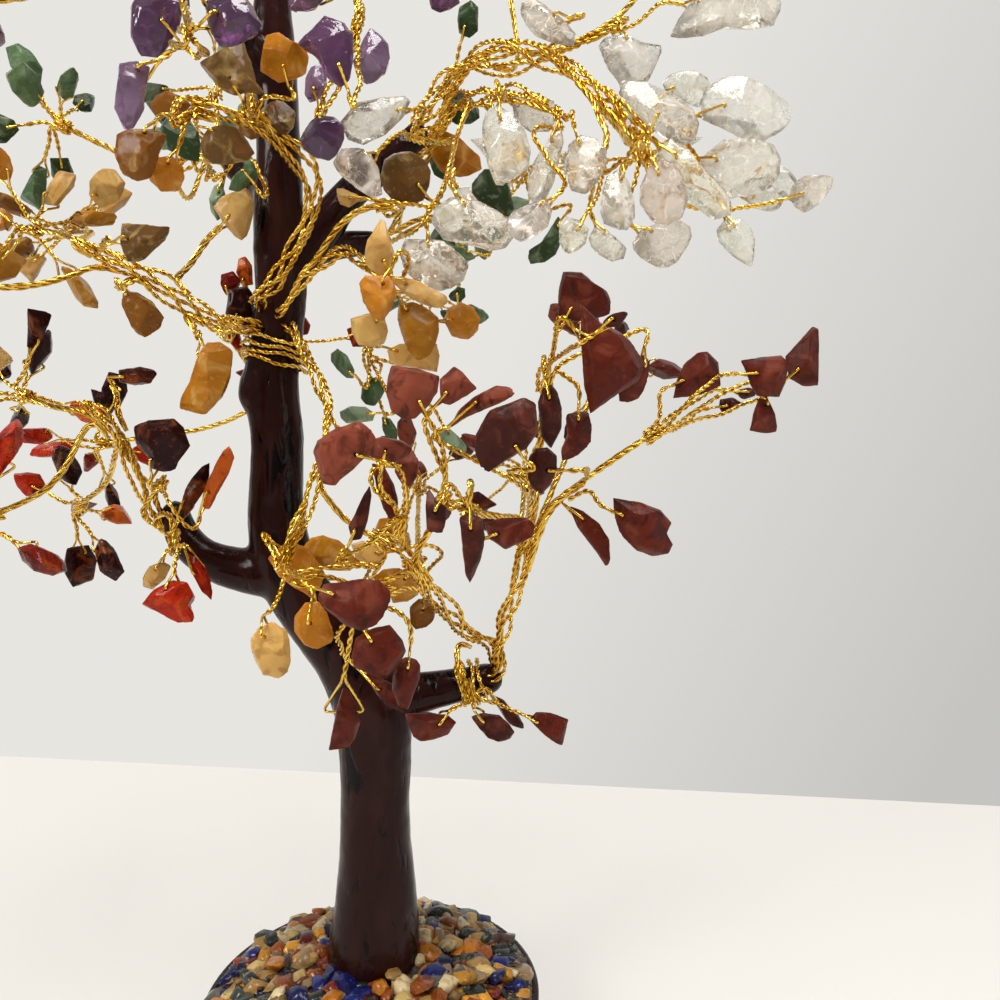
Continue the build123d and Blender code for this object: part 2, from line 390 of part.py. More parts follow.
                (-5.3, -3.4), (-9.1, -1.1)]),
            Seen(739, 168, -18, -17, [(-8.2, -0.6), (-6.8, 2), (-4.6, 4.6), (0.7, 5.9), (4.5, 5.5),
                (6.5, 3.3), (7.2, 0.7), (6.3, -2.8), (3.9, -5.1), (0.4, -6.3), (-2.7, -5.5), (-5.9, -3.4)]),
            Seen(692, 180, -28, -45, [(-8.1, -1.9), (-8.8, 2.4), (-5.6, 2.7), (-0.8, 2.9), (4.2, 2.8),
                (7.5, 2.3), (8.9, 0.6), (7.2, -2.7), (3.3, -3.2), (-0.7, -2.8), (-4.9, -2.6)])]),
        Fan(7, [at(640, 146, -22), at(643, 156, -24)], [
            Seen(782, 181, -6, -34, [(-5.1, 0.4), (-4.5, 2.7), (-2, 2.7), (1.1, 2.1), (4.1, 0.9),
                (4.6, -1.1), (3.8, -3.1), (0.9, -2.8), (-2.5, -1.4)]),
            Seen(809, 192, -10, 18, [(-3.7, 2.1), (-1, 3.3), (2.5, 2.8), (5.5, 1.4), (4.7, -0.4),
                (2.2, -2.4), (-0.3, -3.4), (-2.2, -3.7), (-3.9, -2), (-4.6, 0.3)]),
            Seen(737, 239, -20, -61, [(-3.7, -2.6), (-4.6, -0.4), (-3.4, 2.2), (-1, 3.2), (1.3, 3.1),
                (3.6, 1.7), (6, 0.1), (4.1, -1.2), (1.2, -2.7), (-1.5, -3.3)]),
            Seen(662, 242, -24, -24, [(-5.4, -3.6), (-4.9, 0.1), (-1.9, 3.4), (0.9, 5.3), (3.6, 5.2),
                (4.7, 3.7), (4.4, 1), (3.9, -1.9), (2.6, -3.8), (1, -4.7), (-2.6, -4.6)]),
            Seen(663, 192, -34, -69, [(-2.5, -3.4), (-4.9, -1.1), (-5.4, 1.7), (-3.7, 3.4), (-0.7, 3.9),
                (2.4, 3.7), (4.9, 1.7), (5.2, -1), (3.4, -3.5), (0.1, -4.3)]),
            Seen(764, 200, -4, -12, [(-4.6, 0), (-1.4, 2.1), (2, 2.4), (4.1, 0.5), (3.1, -1.6), (0.1, -2.4),
                (-2.9, -1.7)])]),
        Fan(6, [at(610, 140, -22), at(600, 158, -25), at(594, 172, -27)], [
            Seen(618, 202, -34, -95, [(2.1, -3.2), (-1.7, -3), (-5.1, -2.3), (-6.8, -0.2), (-4.4, 1.9),
                (-0.7, 3.1), (2.5, 3.4), (5.2, 2.3), (5.8, 0), (4.7, -2.2)]),
            Seen(607, 244, -20, -59, [(-2.9, -2.6), (-4, -0.7), (-2.7, 1.4), (0.4, 2.6), (2.4, 3.1),
                (3.8, 1.5), (3.2, -0.7), (1, -2.3), (-1.2, -2.9)]),
            Seen(572, 235, -30, -125, [(-0.1, -3), (-1.9, -2.8), (-2.9, -0.3), (-2.7, 2), (-0.4, 2.9),
                (2.5, 2.1), (3.4, 0.1), (2.3, -1.8)])]),
    ]),
    Plan("quartz_mid", 0.95, [
        mm(5.8, 10.2, 213), mm(14.2, 11.2, 219.6), at(447, 106, 9), at(476, 95, 0),
        at(512, 91, -8), at(548, 104, -13)], [
        Fan(5, [at(560, 112, -16), at(567, 120, -18)], [
            Seen(584, 163, -26, -76, [(-0.7, -3.5), (-4.6, -1.8), (-5.4, 0.7), (-3.9, 3.2), (-1.4, 4.4),
                (1.5, 3.7), (4, 1.6), (5.4, -1), (4.2, -3.5), (1.6, -4.1)]),
            Seen(546, 166, -22, -102, [(2.7, -3), (-0.7, -2.6), (-3.9, -1.4), (-7.5, 0.1), (-8.2, 1.6),
                (-5.5, 2.4), (-1.8, 2.3), (2.6, 2.2), (6.1, 1.5), (7.2, -0.8), (5.4, -2.4)]),
            Seen(530, 220, -30, -138, [(3.5, -2.8), (1, -3.4), (-2.5, -2.1), (-5, -0.6), (-4.1, 1.6),
                (-1.6, 3.3), (1.5, 2.9), (3.7, 1.9), (4.2, -0.6)])]),
        Fan(4, [at(502, 96, -14), at(500, 102, -16)], [
            Seen(505, 145, -26, -82, [(-5, -3.6), (-7.4, -2.3), (-7.5, 0.1), (-5.8, 2.1), (-2.8, 3.9),
                (1.3, 4.5), (4.2, 3.9), (6.7, 2), (7.5, 0.1), (6.3, -2.7), (2.6, -3.6), (-1.5, -4.1)]),
            Seen(533, 112, -2, -22, [(-5.9, 0.5), (-2, 3.3), (2.9, 4), (4.8, 1.6), (4.5, -2), (0.9, -4),
                (-3, -3.5)])]),
        Fan(3, [at(458, 132, -8), at(450, 166, -18), at(446, 182, -22)], [
            Seen(472, 223, -26, -59, [(-4, -6.5), (-5.9, -4.2), (-6, -1), (-2.9, 3.2), (0.4, 5.6),
                (3.4, 6.3), (5.5, 5.6), (6.5, 3.1), (5.6, 0.4), (2.7, -2.5), (-0.4, -6.2)]),
            Seen(433, 262, -28, -80, [(-3.1, -5.8), (-5.4, -4.3), (-4.5, -0.3), (-3.6, 2.7), (-1.2, 4.8),
                (1.7, 6.4), (4.2, 4.8), (5.1, 2.4), (5.1, 0.1), (2.9, -3.1), (0.5, -5.4)])]),
        Fan(1, [mm(18.6, 9.5, 218.6), mm(17, 2, 213.4), at(409, 136, -9)], [
            Seen(376, 118, -20, -163, [(6.4, -0.7), (2.4, -3.4), (-2.3, -3.3), (-6.8, -2.6), (-7.6, -1.5),
                (-5.8, 0.8), (-1.2, 3.3), (3.3, 4.1), (5.9, 2.5)]),
            Seen(360, 171, -22, -132, [(1.9, -5.5), (-1.2, -6.3), (-3, -3.6), (-4, -0.7), (-2.7, 2.7),
                (0.7, 7.1), (2.2, 6.3), (3.2, 2.5), (3.1, -2.2)])]),
    ]),
    Plan("quartz_top", 0.85, [
        mm(6, 8.6, 216.4), mm(9.6, 9.4, 225.4), at(458, 60, 10), at(505, 70, 6), at(556, 54, 3),
        at(600, 33, 2)], [
        Fan(5, [at(618, 24, 1), at(626, 20, 0)], [
            Seen(629, 58, -6, -73, [(-4.2, -6), (-5.6, -3.6), (-5, -0.1), (-2.2, 3.5), (-1.1, 7.2),
                (0.4, 6.9), (3.2, 4.5), (5.6, 2.3), (5.3, -0.2), (4, -3.7), (0.3, -5)]),
            Seen(726, 11, -6, -12, [(-11.2, -7), (-10, -3.3), (-8, 0.6), (-4.9, 3.3), (1.9, 5.7),
                (8.2, 6.1), (10.2, 4.2), (10.1, 1.7), (9.4, -1.5), (4.9, -2.9), (-0.7, -3.6), (-3.9, -5.7),
                (-8.7, -6.9)])]),
        Fan(4, [at(560, 34, -2), at(566, 24, -4)], [
            Seen(547, 24, -14, -164, [(4.4, -3.4), (3.4, -6.1), (0.7, -6.2), (-1, -3.7), (-3.2, -0.4),
                (-4.9, 3.8), (-3.8, 6), (-1.3, 5.7), (0.8, 4.2), (2.7, 1.7), (4, -0.7)])]),
    ]),
    Plan("aventurine_back", 0.95, [
        mm(-6.6, 11.4, 193.4), mm(0.6, 14.6, 194.6), at(386, 250, 20), at(382, 292, 24),
        at(374, 328, 25)], [
        Fan(4, [at(368, 344, 22), at(364, 352, 20)], [
            Seen(343, 364, 14, 135, [(4.2, 0.3), (3.8, -1.8), (0.8, -2.3), (-3.5, -1.2), (-4.7, 0.7),
                (-3.1, 1.9), (0.3, 2.1), (2.8, 1.7)]),
            Seen(373, 391, 20, -111, [(3, -2.4), (-0.6, -3.2), (-2.9, -1.6), (-4.4, 0.3), (-2.4, 3),
                (1.1, 2.6), (3.6, 1.7), (4, -0.7)]),
            Seen(357, 415, 16, -177, [(4.5, -1.2), (1.6, -2.4), (-2.7, -1.9), (-4.9, -0.2), (-4, 1.8),
                (-0.2, 2.1), (2.9, 2.1), (4.3, 0.5)]),
            Seen(390, 430, 24, -69, [(-4.2, -0.8), (-2.9, 1.2), (0.8, 2.1), (3.5, 0.8), (3.1, -1.6),
                (-0.1, -1.8)]),
            Seen(453, 442, 22, -59, [(-4.4, -1.9), (-4, 0.9), (-0.5, 2.1), (3.2, 2.6), (5, 0.6),
                (2.6, -1.3), (-1.6, -2.7)])]),
        Fan(1, [at(418, 218, 18), at(448, 216, 16), at(466, 226, 14)], [
            Seen(493, 192, 8, -123, [(0.8, -5.8), (-2.9, -5.5), (-4.2, -3.5), (-4.3, 0.2), (-3.1, 2.8),
                (0.3, 6.4), (3, 6.8), (3.5, 3), (3.9, -1.7), (3, -4.3)]),
            Seen(547, 245, 12, -122, [(3.5, -3.3), (0.1, -1.6), (-4.7, -1.4), (-7.6, -1.5), (-6.4, 0.4),
                (-3, 2.5), (0.7, 3.1), (3.8, 1.8), (6.2, -1.1), (5.5, -2.7)]),
            Seen(461, 252, 12, 180, [(4.8, -3.9), (2.3, -1.7), (-1.7, -0.5), (-3.9, 1.2), (-2.7, 2.7),
                (0.8, 0.8), (3.5, -1.2)]),
            Seen(458, 295, 6, 92, [(-0.2, 2.4), (2.1, 0.1), (1.5, -1.8), (-0.6, -1.9), (-2, -0.2),
                (-1.4, 1.7)])]),
        Fan(1, [at(424, 166, 22), at(446, 124, 20), at(450, 100, 18)], [
            Seen(461, 109, 8, -36, [(-3.8, -3.6), (-4.3, 0), (-3, 3.3), (-0.4, 4.6), (3.2, 3.3), (4.8, 1.5),
                (4, -1.5), (1.5, -3.9), (-1.7, -4.4)]),
            Seen(468, 19, 12, 71, [(-1.1, 2.5), (2.4, 3), (4.6, 1.1), (3.5, -1.6), (-1.8, -3.2),
                (-4.1, -1.7), (-4.3, 0.9)])]),
    ]),
    Plan("aventurine_left", 0.95, [
        mm(-33.4, 7.6, 208.8), mm(-41.2, 11.9, 215.3), mm(-49, 15, 217.6), mm(-57, 20, 214)], [
        Fan(1, [at(212, 170, 3), at(206, 180, -2)], [
            Seen(182, 139, -12, -72, [(-3.4, -3.8), (-5.2, -1.9), (-4, 1.8), (-1.3, 3.9), (2.6, 3.3),
                (6, 2), (4.4, -0.9), (1.5, -3.6)]),
            Seen(218, 201, -4, -97, [(-0.1, -2), (-3.8, -1.3), (-4.7, 0.2), (-1.4, 1.5), (2.7, 1.8),
                (4.9, 0.7), (2.6, -1.2)]),
            Seen(244, 176, -15, 137, [(0, 4.5), (1.1, 2.4), (1, -0.9), (2.7, -3.3), (0.9, -3.7),
                (-1.5, -2.5), (-1.5, 0.5), (-1.4, 3.7)])]),
    ]),
    Plan("amethyst_left", 1.1, [
        mm(-29.6, -9.2, 234.2), mm(-35.2, -18.6, 239.2), mm(-36, -29, 237), mm(-33, -40, 229),
        mm(-28, -50, 219), mm(-22, -59, 208)], [
        Fan(5, [mm(-17, -64, 200.4), mm(-15.6, -66, 198.4)], [
            Seen(155, 21, -60, 140, [(3.9, 1), (4.9, -2.5), (1.8, -5.5), (-1.6, -4.7), (-3, -2), (-4, 1.2),
                (-4.4, 4), (-2.3, 5.8), (0.8, 4.4)]),
            Seen(131, 93, -58, -135, [(-1.7, -4.2), (-4.1, -3.1), (-5.2, -1.1), (-3, 0.2), (0.4, 3),
                (3.6, 4.2), (4.9, 3.7), (3.6, 0.2)]),
            Seen(232, 18, -57, 18, [(-3.4, 2.8), (-1.4, 4.8), (2.1, 4.3), (3.7, 1.2), (4.2, -2.3),
                (3, -3.5), (1.1, -3.9), (-1.4, -4.4), (-3.3, -3.8), (-3.8, -1.3)])]),
    ]),
    Plan("amethyst_top", 1.0, [
        mm(-24, 0, 250), mm(-24, -0.6, 262), mm(-18, -5, 270), mm(-9, -12, 266), at(362, -20, -22),
        at(359, 14, -25)], [
        Fan(5, [at(358, 28, -26), at(356, 40, -26)], [
            Seen(332, 49, -34, 111, [(3.3, 5.9), (4.7, 2.3), (6.7, -1), (3.9, -4), (1.2, -4.8),
                (-3.3, -3.1), (-6.9, -0.9), (-7.7, 1.2), (-5.1, 2.8), (-0.9, 3.2), (1.5, 4.3)]),
            Seen(372, 58, -18, -1, [(-4.1, -0.8), (-2.5, 2.5), (-0.4, 6.5), (1.2, 5.5), (3.4, 3),
                (3.8, 0.1), (3, -2.8), (0.6, -5.2), (-1.1, -5.8), (-3, -4.2)]),
            Seen(316, 83, -24, 97, [(1.3, 2.2), (3.7, 0.7), (4, -1.6), (1.5, -2.6), (-1.7, -2.2),
                (-3.7, -0.4), (-4, 1.7), (-1.9, 2.6)]),
            Seen(323, 137, -30, -88, [(-0.1, -4.8), (-3.3, -3.1), (-4.7, -0.6), (-4.2, 2.3), (-2.1, 4.2),
                (0.8, 4.2), (3.7, 2.8), (5.1, 1), (4.1, -1.9), (2.1, -3.9)])]),
        Fan(3, [at(330, -40, -22), at(322, -34, -22)], [
            Seen(305, -1, -20, -176, [(3.8, -1.4), (0.8, -2.8), (-3.6, -1.6), (-4.1, 0.5), (-2.5, 2),
                (0.2, 2.6), (3.1, 2.2)])]),
        Fan(2, [at(420, -40, -14), at(440, -30, -12)], [
            Seen(443, -2, -8, -93, [(-1.1, -3.5), (-3, -0.9), (-2, 3.2), (0.7, 3.8), (2.1, 1.6),
                (3.2, -0.5), (2.6, -2.6)])]),
    ]),]

# Fans that the photograph doesn't show: (rope point, stem points in millimetres, number of chips)
HIDDEN = {
    "jasper_right": [(4, [(34, 4, 122), (36, 24, 138)], 8), (5, [(50, 10, 152), (58, 26, 168)], 6)],
    "jasper_front": [(5, [(10, -2, 124), (8, 22, 134)], 8)],
    "citrine_outer": [(7, [(-66, -10, 188), (-78, -4, 192)], 7), (6, [(-62, -26, 172), (-76, -34, 170)], 6),
                      (7, [(-70, 10, 196), (-84, 22, 200)], 6)],
    "carnelian_left": [(6, [(-68, -10, 150), (-80, -4, 154)], 7), (5, [(-64, -18, 132), (-74, -26, 126)], 6),
                       (4, [(-66, 8, 134), (-80, 18, 128)], 6)],
    "carnelian_back": [(3, [(-32, 46, 168), (-35, 52, 176)], 7), (2, [(-50, 34, 150), (-86, 40, 146)], 7)],
    "quartz_right": [(5, [(56, 8, 222), (67, 27, 222)], 8)],
    "quartz_mid": [(3, [(30, 22, 222), (36, 40, 224)], 8)],
    "quartz_top": [(5, [(60, 6, 248), (72, 4, 266)], 6), (3, [(34, 22, 246), (30, 30, 280)], 6)],
    "aventurine_back": [(3, [(10, 38, 190), (8, 52, 192)], 7), (2, [(6, 34, 206), (20, 50, 218)], 7)],
    "aventurine_left": [(3, [(-66, 20, 218), (-84, 16, 226)], 7), (3, [(-58, 36, 212), (-56, 46, 234)], 6),
                        (2, [(-46, 26, 226), (-50, 34, 244)], 5)],
    "amethyst_left": [(3, [(-56, -40, 232), (-68, -40, 234)], 6), (4, [(-48, -50, 214), (-58, -56, 208)], 4)],
    "amethyst_top": [(2, [(-22, -14, 278), (-26, -22, 280)], 6), (2, [(-12, 6, 276), (-4, 14, 278)], 6),
                     (1, [(-34, 4, 266), (-44, 8, 268)], 6), (2, [(-20, 16, 276), (-22, 34, 284)], 6)],
}
HIDDEN_REACH = 15.0
HIDDEN_LENGTH = (8.5, 12.5)
HIDDEN_WIDTH = (0.58, 0.85)
HIDDEN_TRIES = 40
HIDDEN_BACK = 6.0
BARE_CORNERS = 2

HUNG = [
    Hung("jasper_drop", "jasper_front", 5, [at(362, 604, -36), at(350, 622, -33), at(345, 650, -32), at(345, 680, -32)],
         at(344, 712, -32), [(-4.7, -0.2), (-4.2, 0.9), (-0.8, 2.5), (1.9, 3.2), (5.1, 2.1), (6.8, 0.8), (7.4, -3),
                             (3, -2.1), (-1.3, -1.3)], 3.8, 22, True),
    Hung("citrine_drop_left", "citrine_low", 8, [at(283, 580, -27), at(277, 600, -29), at(271, 612, -30)],
         at(266, 636, -30), [(0.4, -3.1), (-1.7, -1.5), (-2.7, 1.3), (-1.3, 3.9), (0.8, 4.6), (4.6, 4.8), (7.1, 4.2),
                             (8.3, 2.5), (7.5, -0.6), (5, -2.1), (2.3, -2.9)], 3.0, 16),
    Hung("citrine_drop_right", "citrine_low", 8, [at(296, 572, -32), at(306, 582, -36), at(311, 590, -37)],
         at(312, 622, -37), [(-3.6, -1.3), (-3.8, 1.3), (-1.8, 2.7), (2.2, 4.2), (4.1, 3.8), (5.3, 1.1), (4.2, -1.5),
                             (1.7, -3.3), (-1.1, -3.1)], 3.0, 14),
]

# Gravel on the resin bed: (node, share of the pieces)
GRAVEL = [("gravel_cream", 0.36), ("gravel_amber", 0.22), ("gravel_grey", 0.18), ("gravel_blue", 0.13), ("gravel_red", 0.11)]
GRAVEL_SPACING = 3.1
GRAVEL_SIZE = (3.4, 5.2)
GRAVEL_HEIGHT = (1.8, 3.4)
GRAVEL_FLAT = 0.86
GRAVEL_LEVELS = ((0.0, 0.78), (0.45, 1.0), (1.0, 0.5))
GRAVEL_INNER = 14.0
GRAVEL_RIM = 0.2
GOLDEN_ANGLE = math.pi * (3 - math.sqrt(5))


def unit(vector):
    """The vector at length 1."""
    return vector / np.linalg.norm(vector)


def across(vector, axis):
    """The part of a vector square to an axis, at length 1."""
    return unit(vector - axis * np.dot(vector, axis))


def samples(points):
    """Points at most STEP apart along a line of points."""
    found = [points[0]]
    for start, end in zip(points, points[1:]):
        count = max(1, math.ceil(np.linalg.norm(end - start) / STEP))
        found += [start + (end - start) * k / count for k in range(1, count + 1)]
    return np.array(found)


def crossings(outline, level, axis):
    """Where an outline crosses a level of one axis, as its lowest and highest place there on the other axis."""
    found = []
    for start, end in zip(outline, outline[1:] + outline[:1]):
        low, high = start[axis] - level, end[axis] - level
        if low * high <= 0 and low != high:
            found.append(start[1 - axis] + (end[1 - axis] - start[1 - axis]) * low / (low - high))
    return min(found), max(found)


def drill_point(outline):
    """Where a chip's hole goes, near its wired end where it is wide enough, and the wired edge beside the hole."""
    low = min(u for u, _ in outline)
    length = max(u for u, _ in outline) - low
    choices = []
    for share in HOLE_SHARES:
        u = low + max(share * length, HOLE_INSET)
        left, right = crossings(outline, u, 0)
        v = min(max(0.0, left + HOLE_ROOM), right - HOLE_ROOM) if right - left > 2 * HOLE_ROOM else (left + right) / 2
        edge = crossings(outline, v, 1)[0]
        choices.append((min(v - left, right - v, u - edge, HOLE_ROOM), -share, (u, v), edge))
    best = max(choices)
    return best[2], best[3]


class Space:
    """What is already placed, as round-ended rods, and how far a new thing stays clear of it."""

    def __init__(self):
        self.rods = np.zeros((ROD_ROWS, 8))
        self.count = 0

    def add(self, points, radius):
        """Adds a line of points as rods of one radius."""
        for start, end in zip(points, points[1:]):
            if self.count == len(self.rods):
                self.rods = np.concatenate([self.rods, np.zeros((ROD_ROWS, 8))])
            self.rods[self.count] = [*start, *end, radius, np.linalg.norm(end - start) / 2]
            self.count += 1

    def gap(self, points, radius):
        """The least distance, up to NEAR, from balls at the points to everything placed."""
        rods, middle = self.rods[: self.count], points.mean(0)
        reach = np.linalg.norm(points - middle, axis=1).max() + radius + NEAR
        away = np.linalg.norm((rods[:, :3] + rods[:, 3:6]) / 2 - middle, axis=1) - rods[:, 6] - rods[:, 7]
        rods = rods[away < reach]
        if not len(rods):
            return NEAR
        starts, runs = rods[:, :3], rods[:, 3:6] - rods[:, :3]
        offsets = points[:, None, :] - starts[None]
        share = np.clip((offsets * runs[None]).sum(2) / np.maximum((runs**2).sum(1), 1e-9)[None], 0, 1)
        apart = np.linalg.norm(offsets - share[..., None] * runs[None], axis=2) - rods[None, :, 6]
        return min(NEAR, float(apart.min()) - radius)


@dataclass(eq=False)
class Stone:
    """One drilled chip: its middle, its axes, its outline from the middle and the twisted pair of wire that carries it."""

    seed: str
    centre: np.ndarray
    along: np.ndarray
    normal: np.ndarray
    outline: list
    thick: float
    drill: tuple = None
    drilled_across: bool = False
    spread: float = LOOP_SPREAD
    twig: list = field(default_factory=list)

    def __post_init__(self):
        if self.drill is None:
            self.drill, self.edge = drill_point(self.outline)
        else:
            self.edge = crossings(self.outline, self.drill[1], 1)[0]

    @property
    def side(self):
        """The direction across the chip."""
        return np.cross(self.normal, self.along)

    @property
    def bore(self):
        """The direction of the hole."""
        return self.side if self.drilled_across else self.normal

    @property
    def stand(self):
        """How far the loop's wires stand from the middle of the hole."""
        if not self.drilled_across:
            return self.thick / 2 + self.spread
        left, right = crossings(self.outline, self.drill[0], 0)
        return (right - left) / 2 + self.spread

    def point(self, u, v, lift=0.0):
        """A place on the chip in millimetres."""
        return self.centre + self.along * u + self.side * v + self.normal * lift

    @property
    def hole(self):
        """The middle of the drilled hole."""
        return self.point(*self.drill)

    @property
    def neck(self):
        """Where the twisted pair opens into the loop."""
        return self.hole - self.along * (self.drill[0] - self.edge + NECK_RUN)

    def loop(self, inward):
        """The loop's line, which leaves the end face of a pair that arrives along inward."""
        spread = across(self.bore, inward) * (WIRE_RADIUS + 0.02)
        start, end, face = self.neck + spread, self.neck - spread, self.bore * self.stand
        return [start, start + inward * LOOP_FEET, self.hole + face, self.hole - face, end + inward * LOOP_FEET, end]

    def cores(self):
        """Lines of points that fill the chip, for balls of half its thickness."""
        inset = self.thick * 0.4
        low, high = min(u for u, _ in self.outline) + inset, max(u for u, _ in self.outline) - inset
        high = max(high, low + 0.1)
        count = max(1, math.ceil((high - low) / (1.6 * STEP)))
        lines = []
        for k in range(count + 1):
            u = low + (high - low) * k / count
            left, right = crossings(self.outline, u, 0)
            middle = (left + right) / 2
            lines.append([self.point(u, min(left + inset, middle)), self.point(u, max(right - inset, middle))])
        return lines

    def gap(self, space):
        """How far the chip and its loop stay clear of what is placed."""
        chip = np.concatenate([samples(line) for line in self.cores()])
        loop = samples([self.neck, self.hole + self.bore * self.stand, self.hole - self.bore * self.stand])
        return min(space.gap(chip, self.thick / 2), space.gap(loop, WIRE_RADIUS))

    def add_to(self, space):
        """Adds the chip and its loop to what is placed."""
        for line in self.cores():
            space.add(line, self.thick / 2)
        face = self.bore * self.stand
        space.add([self.neck, self.hole + face, self.hole - face, self.neck], WIRE_RADIUS)


def tilted_axes(angle, rnd):
    """A chip's long axis at an angle in the photograph's plane, and its face's normal, each tilted a little."""
    turn, lean = math.radians(angle), rnd.uniform(-0.2, 0.2)
    along = unit(np.array([math.cos(turn), lean, math.sin(turn)]))
    facing = np.array([rnd.uniform(-0.3, 0.3), -1.0, rnd.uniform(-0.25, 0.3)])
    return along, across(facing, along)


def thickness(outline):
    """A chip's thickness from its width."""
    width = max(v for _, v in outline) - min(v for _, v in outline)
    return min(CHIP_THICK[1], max(CHIP_THICK[0], THICK_SHARE * width + THICK_BASE))


def seen_stone(seed, chip, shift):
    """The chip that the photograph shows, moved along the line of sight by a shift in depth."""
    along, normal = tilted_axes(chip.turn, random.Random(seed))
    scale = (EYE_BACK + chip.y + shift) / (EYE_BACK + chip.y)
    outline = [(u * scale, v * scale) for u, v in chip.outline]
    return Stone(seed, at(chip.px, chip.py, chip.y + shift), along, normal, outline, thickness(outline))


def hidden_stone(seed, hub, outward, number, count, attempt):
    """A chip round a hub that the photograph doesn't show."""
    rnd = random.Random(f"{seed} {attempt}")
    lift = 1 - 1.5 * (number + 0.5) / count + rnd.uniform(-0.3, 0.3)
    turn = GOLDEN_ANGLE * number + rnd.uniform(-0.9, 0.9)
    first = across(np.array([0.3, 0.2, 1.0]), outward)
    second = np.cross(outward, first)
    flat = math.sqrt(max(0.0, 1 - min(1, lift * lift)))
    along = unit(outward * lift + (first * math.cos(turn) + second * math.sin(turn)) * flat)
    long = rnd.uniform(*HIDDEN_LENGTH) / 2
    wide = long * rnd.uniform(*HIDDEN_WIDTH)
    form = rnd.choice(FORMS)
    outline = [(u * long * rnd.uniform(0.9, 1.0), v * wide * rnd.uniform(0.86, 1.0)) for u, v in form]
    normal = across(np.array([rnd.uniform(-1, 1), rnd.uniform(-1, 1), rnd.uniform(-0.6, 0.6)]), along)
    centre = hub + along * (HIDDEN_REACH + rnd.uniform(-3, 2) + 0.3 * attempt)
    return Stone(seed, centre, along, normal, outline, thickness(outline))


def covering(limbs):
    """Circles in the photograph, as (pixel x, pixel y, radius), behind which a chip doesn't show."""
    circles = []
    for plan in limbs:
        for fan in plan.fans:
            for chip in fan.chips:
                width = max(v for _, v in chip.outline) - min(v for _, v in chip.outline)
                circles.append((chip.px, chip.py, width / 2 * FOCAL_PX / (EYE_BACK + chip.y)))
    for spine in SPINES.values():
        for low, high in zip(spine, spine[1:]):
            for share in (0.0, 0.5):
                x, y, z, radius = (a + (b - a) * share for a, b in zip(low, high))
                circles.append((*pixel_of(np.array([x, y, z])), radius * FOCAL_PX / (EYE_BACK + y)))
    return np.array(circles)


def pixel_of(point):
    """The pixel at which the photograph shows a point."""
    share = FOCAL_PX / (EYE_BACK + point[1])
    return MIDDLE_PX + (point[0] - EYE_X) * share, MIDDLE_PX - (point[2] - EYE_Z) * share


def stands_out(stone, circles):
    """Whether a hidden chip would show in the photograph."""
    bare, inside = 0, 0
    for u, v in stone.outline:
        px, py = pixel_of(stone.point(u, v))
        if FRAME_PX[0] < px < FRAME_PX[1] and py > 0:
            inside += 1
            bare += bool((np.hypot(circles[:, 0] - px, circles[:, 1] - py) > circles[:, 2]).all())
    return bare > BARE_CORNERS or (inside > 0 and stone.centre[1] < HIDDEN_BACK)


def ring_start(end, axis, towards, core, radius, taken):
    """A free place beside a rope or stem of radius core, for a wire that leaves towards a side."""
    first = across(np.array([0.31, -0.87, 0.38]), axis)
    second = np.cross(axis, first)
    wanted = math.atan2(np.dot(towards, second), np.dot(towards, first))
    ring = core + radius + WIRE_GAP
    slots = math.floor(math.pi / math.asin((radius + 0.02) / ring))
    order = sorted(range(slots), key=lambda k: abs(math.remainder(2 * math.pi * k / slots - wanted, 2 * math.pi)))
    slot = next((k for k in order if k not in taken), order[0])
    taken.add(slot)
    turn = 2 * math.pi * slot / slots
    return end + (first * math.cos(turn) + second * math.sin(turn)) * ring


@dataclass(eq=False)
class Spray:
    """A grown fan: its stem, what it still has to carry, and its chips."""

    stem: list
    chips: list
    hidden: int
    stones: list = field(default_factory=list)

    @property
    def hub(self):
        """The end of the stem."""
        return self.stem[-1]

    @property
    def axis(self):
        """The stem's direction at its end."""
        return unit(self.stem[-1] - self.stem[-2])


@dataclass(eq=False)
class Limb:
    """One rope of wire with its sprays."""

    name: str
    radius: float
    rope: list
    sprays: list = field(default_factory=list)


def grow():
    """The whole crown: every rope, stem, chip and twig, placed clear of each other, and the hung chips."""
    space = Space()
    for spine in SPINES.values():
        for low, high in zip(spine, spine[1:]):
            for share in (0.0, 0.5):
                start, end = (np.array(low) + (np.array(high) - low) * s for s in (share, share + 0.5))
                space.add([start[:3], end[:3]], max(start[3], end[3]))
    space.add([mm(*KNOB_PLACE), mm(*KNOB_PLACE) + mm(0, 0, 0.1)], KNOB_RADII[1])
    limbs = [Limb(plan.name, plan.radius, plan.rope) for plan in LIMBS]
    for limb in limbs:
        space.add(limb.rope[1:], limb.radius)
    for limb, plan in zip(limbs, LIMBS):
        grow_stems(limb, plan, space)
    hung = [hung_stone(entry, limbs) for entry in HUNG]
    for stone in hung:
        stone.add_to(space)
        space.add(stone.twig[1:], PAIR_RADIUS)
    for limb in limbs:
        for spray in limb.sprays:
            place_seen(limb, spray, space)
    circles = covering(LIMBS)
    for limb in limbs:
        for spray in limb.sprays:
            place_hidden(limb, spray, space, circles)
    for limb in limbs:
        for spray in limb.sprays:
            spread_twigs(spray, space)
    return limbs, hung


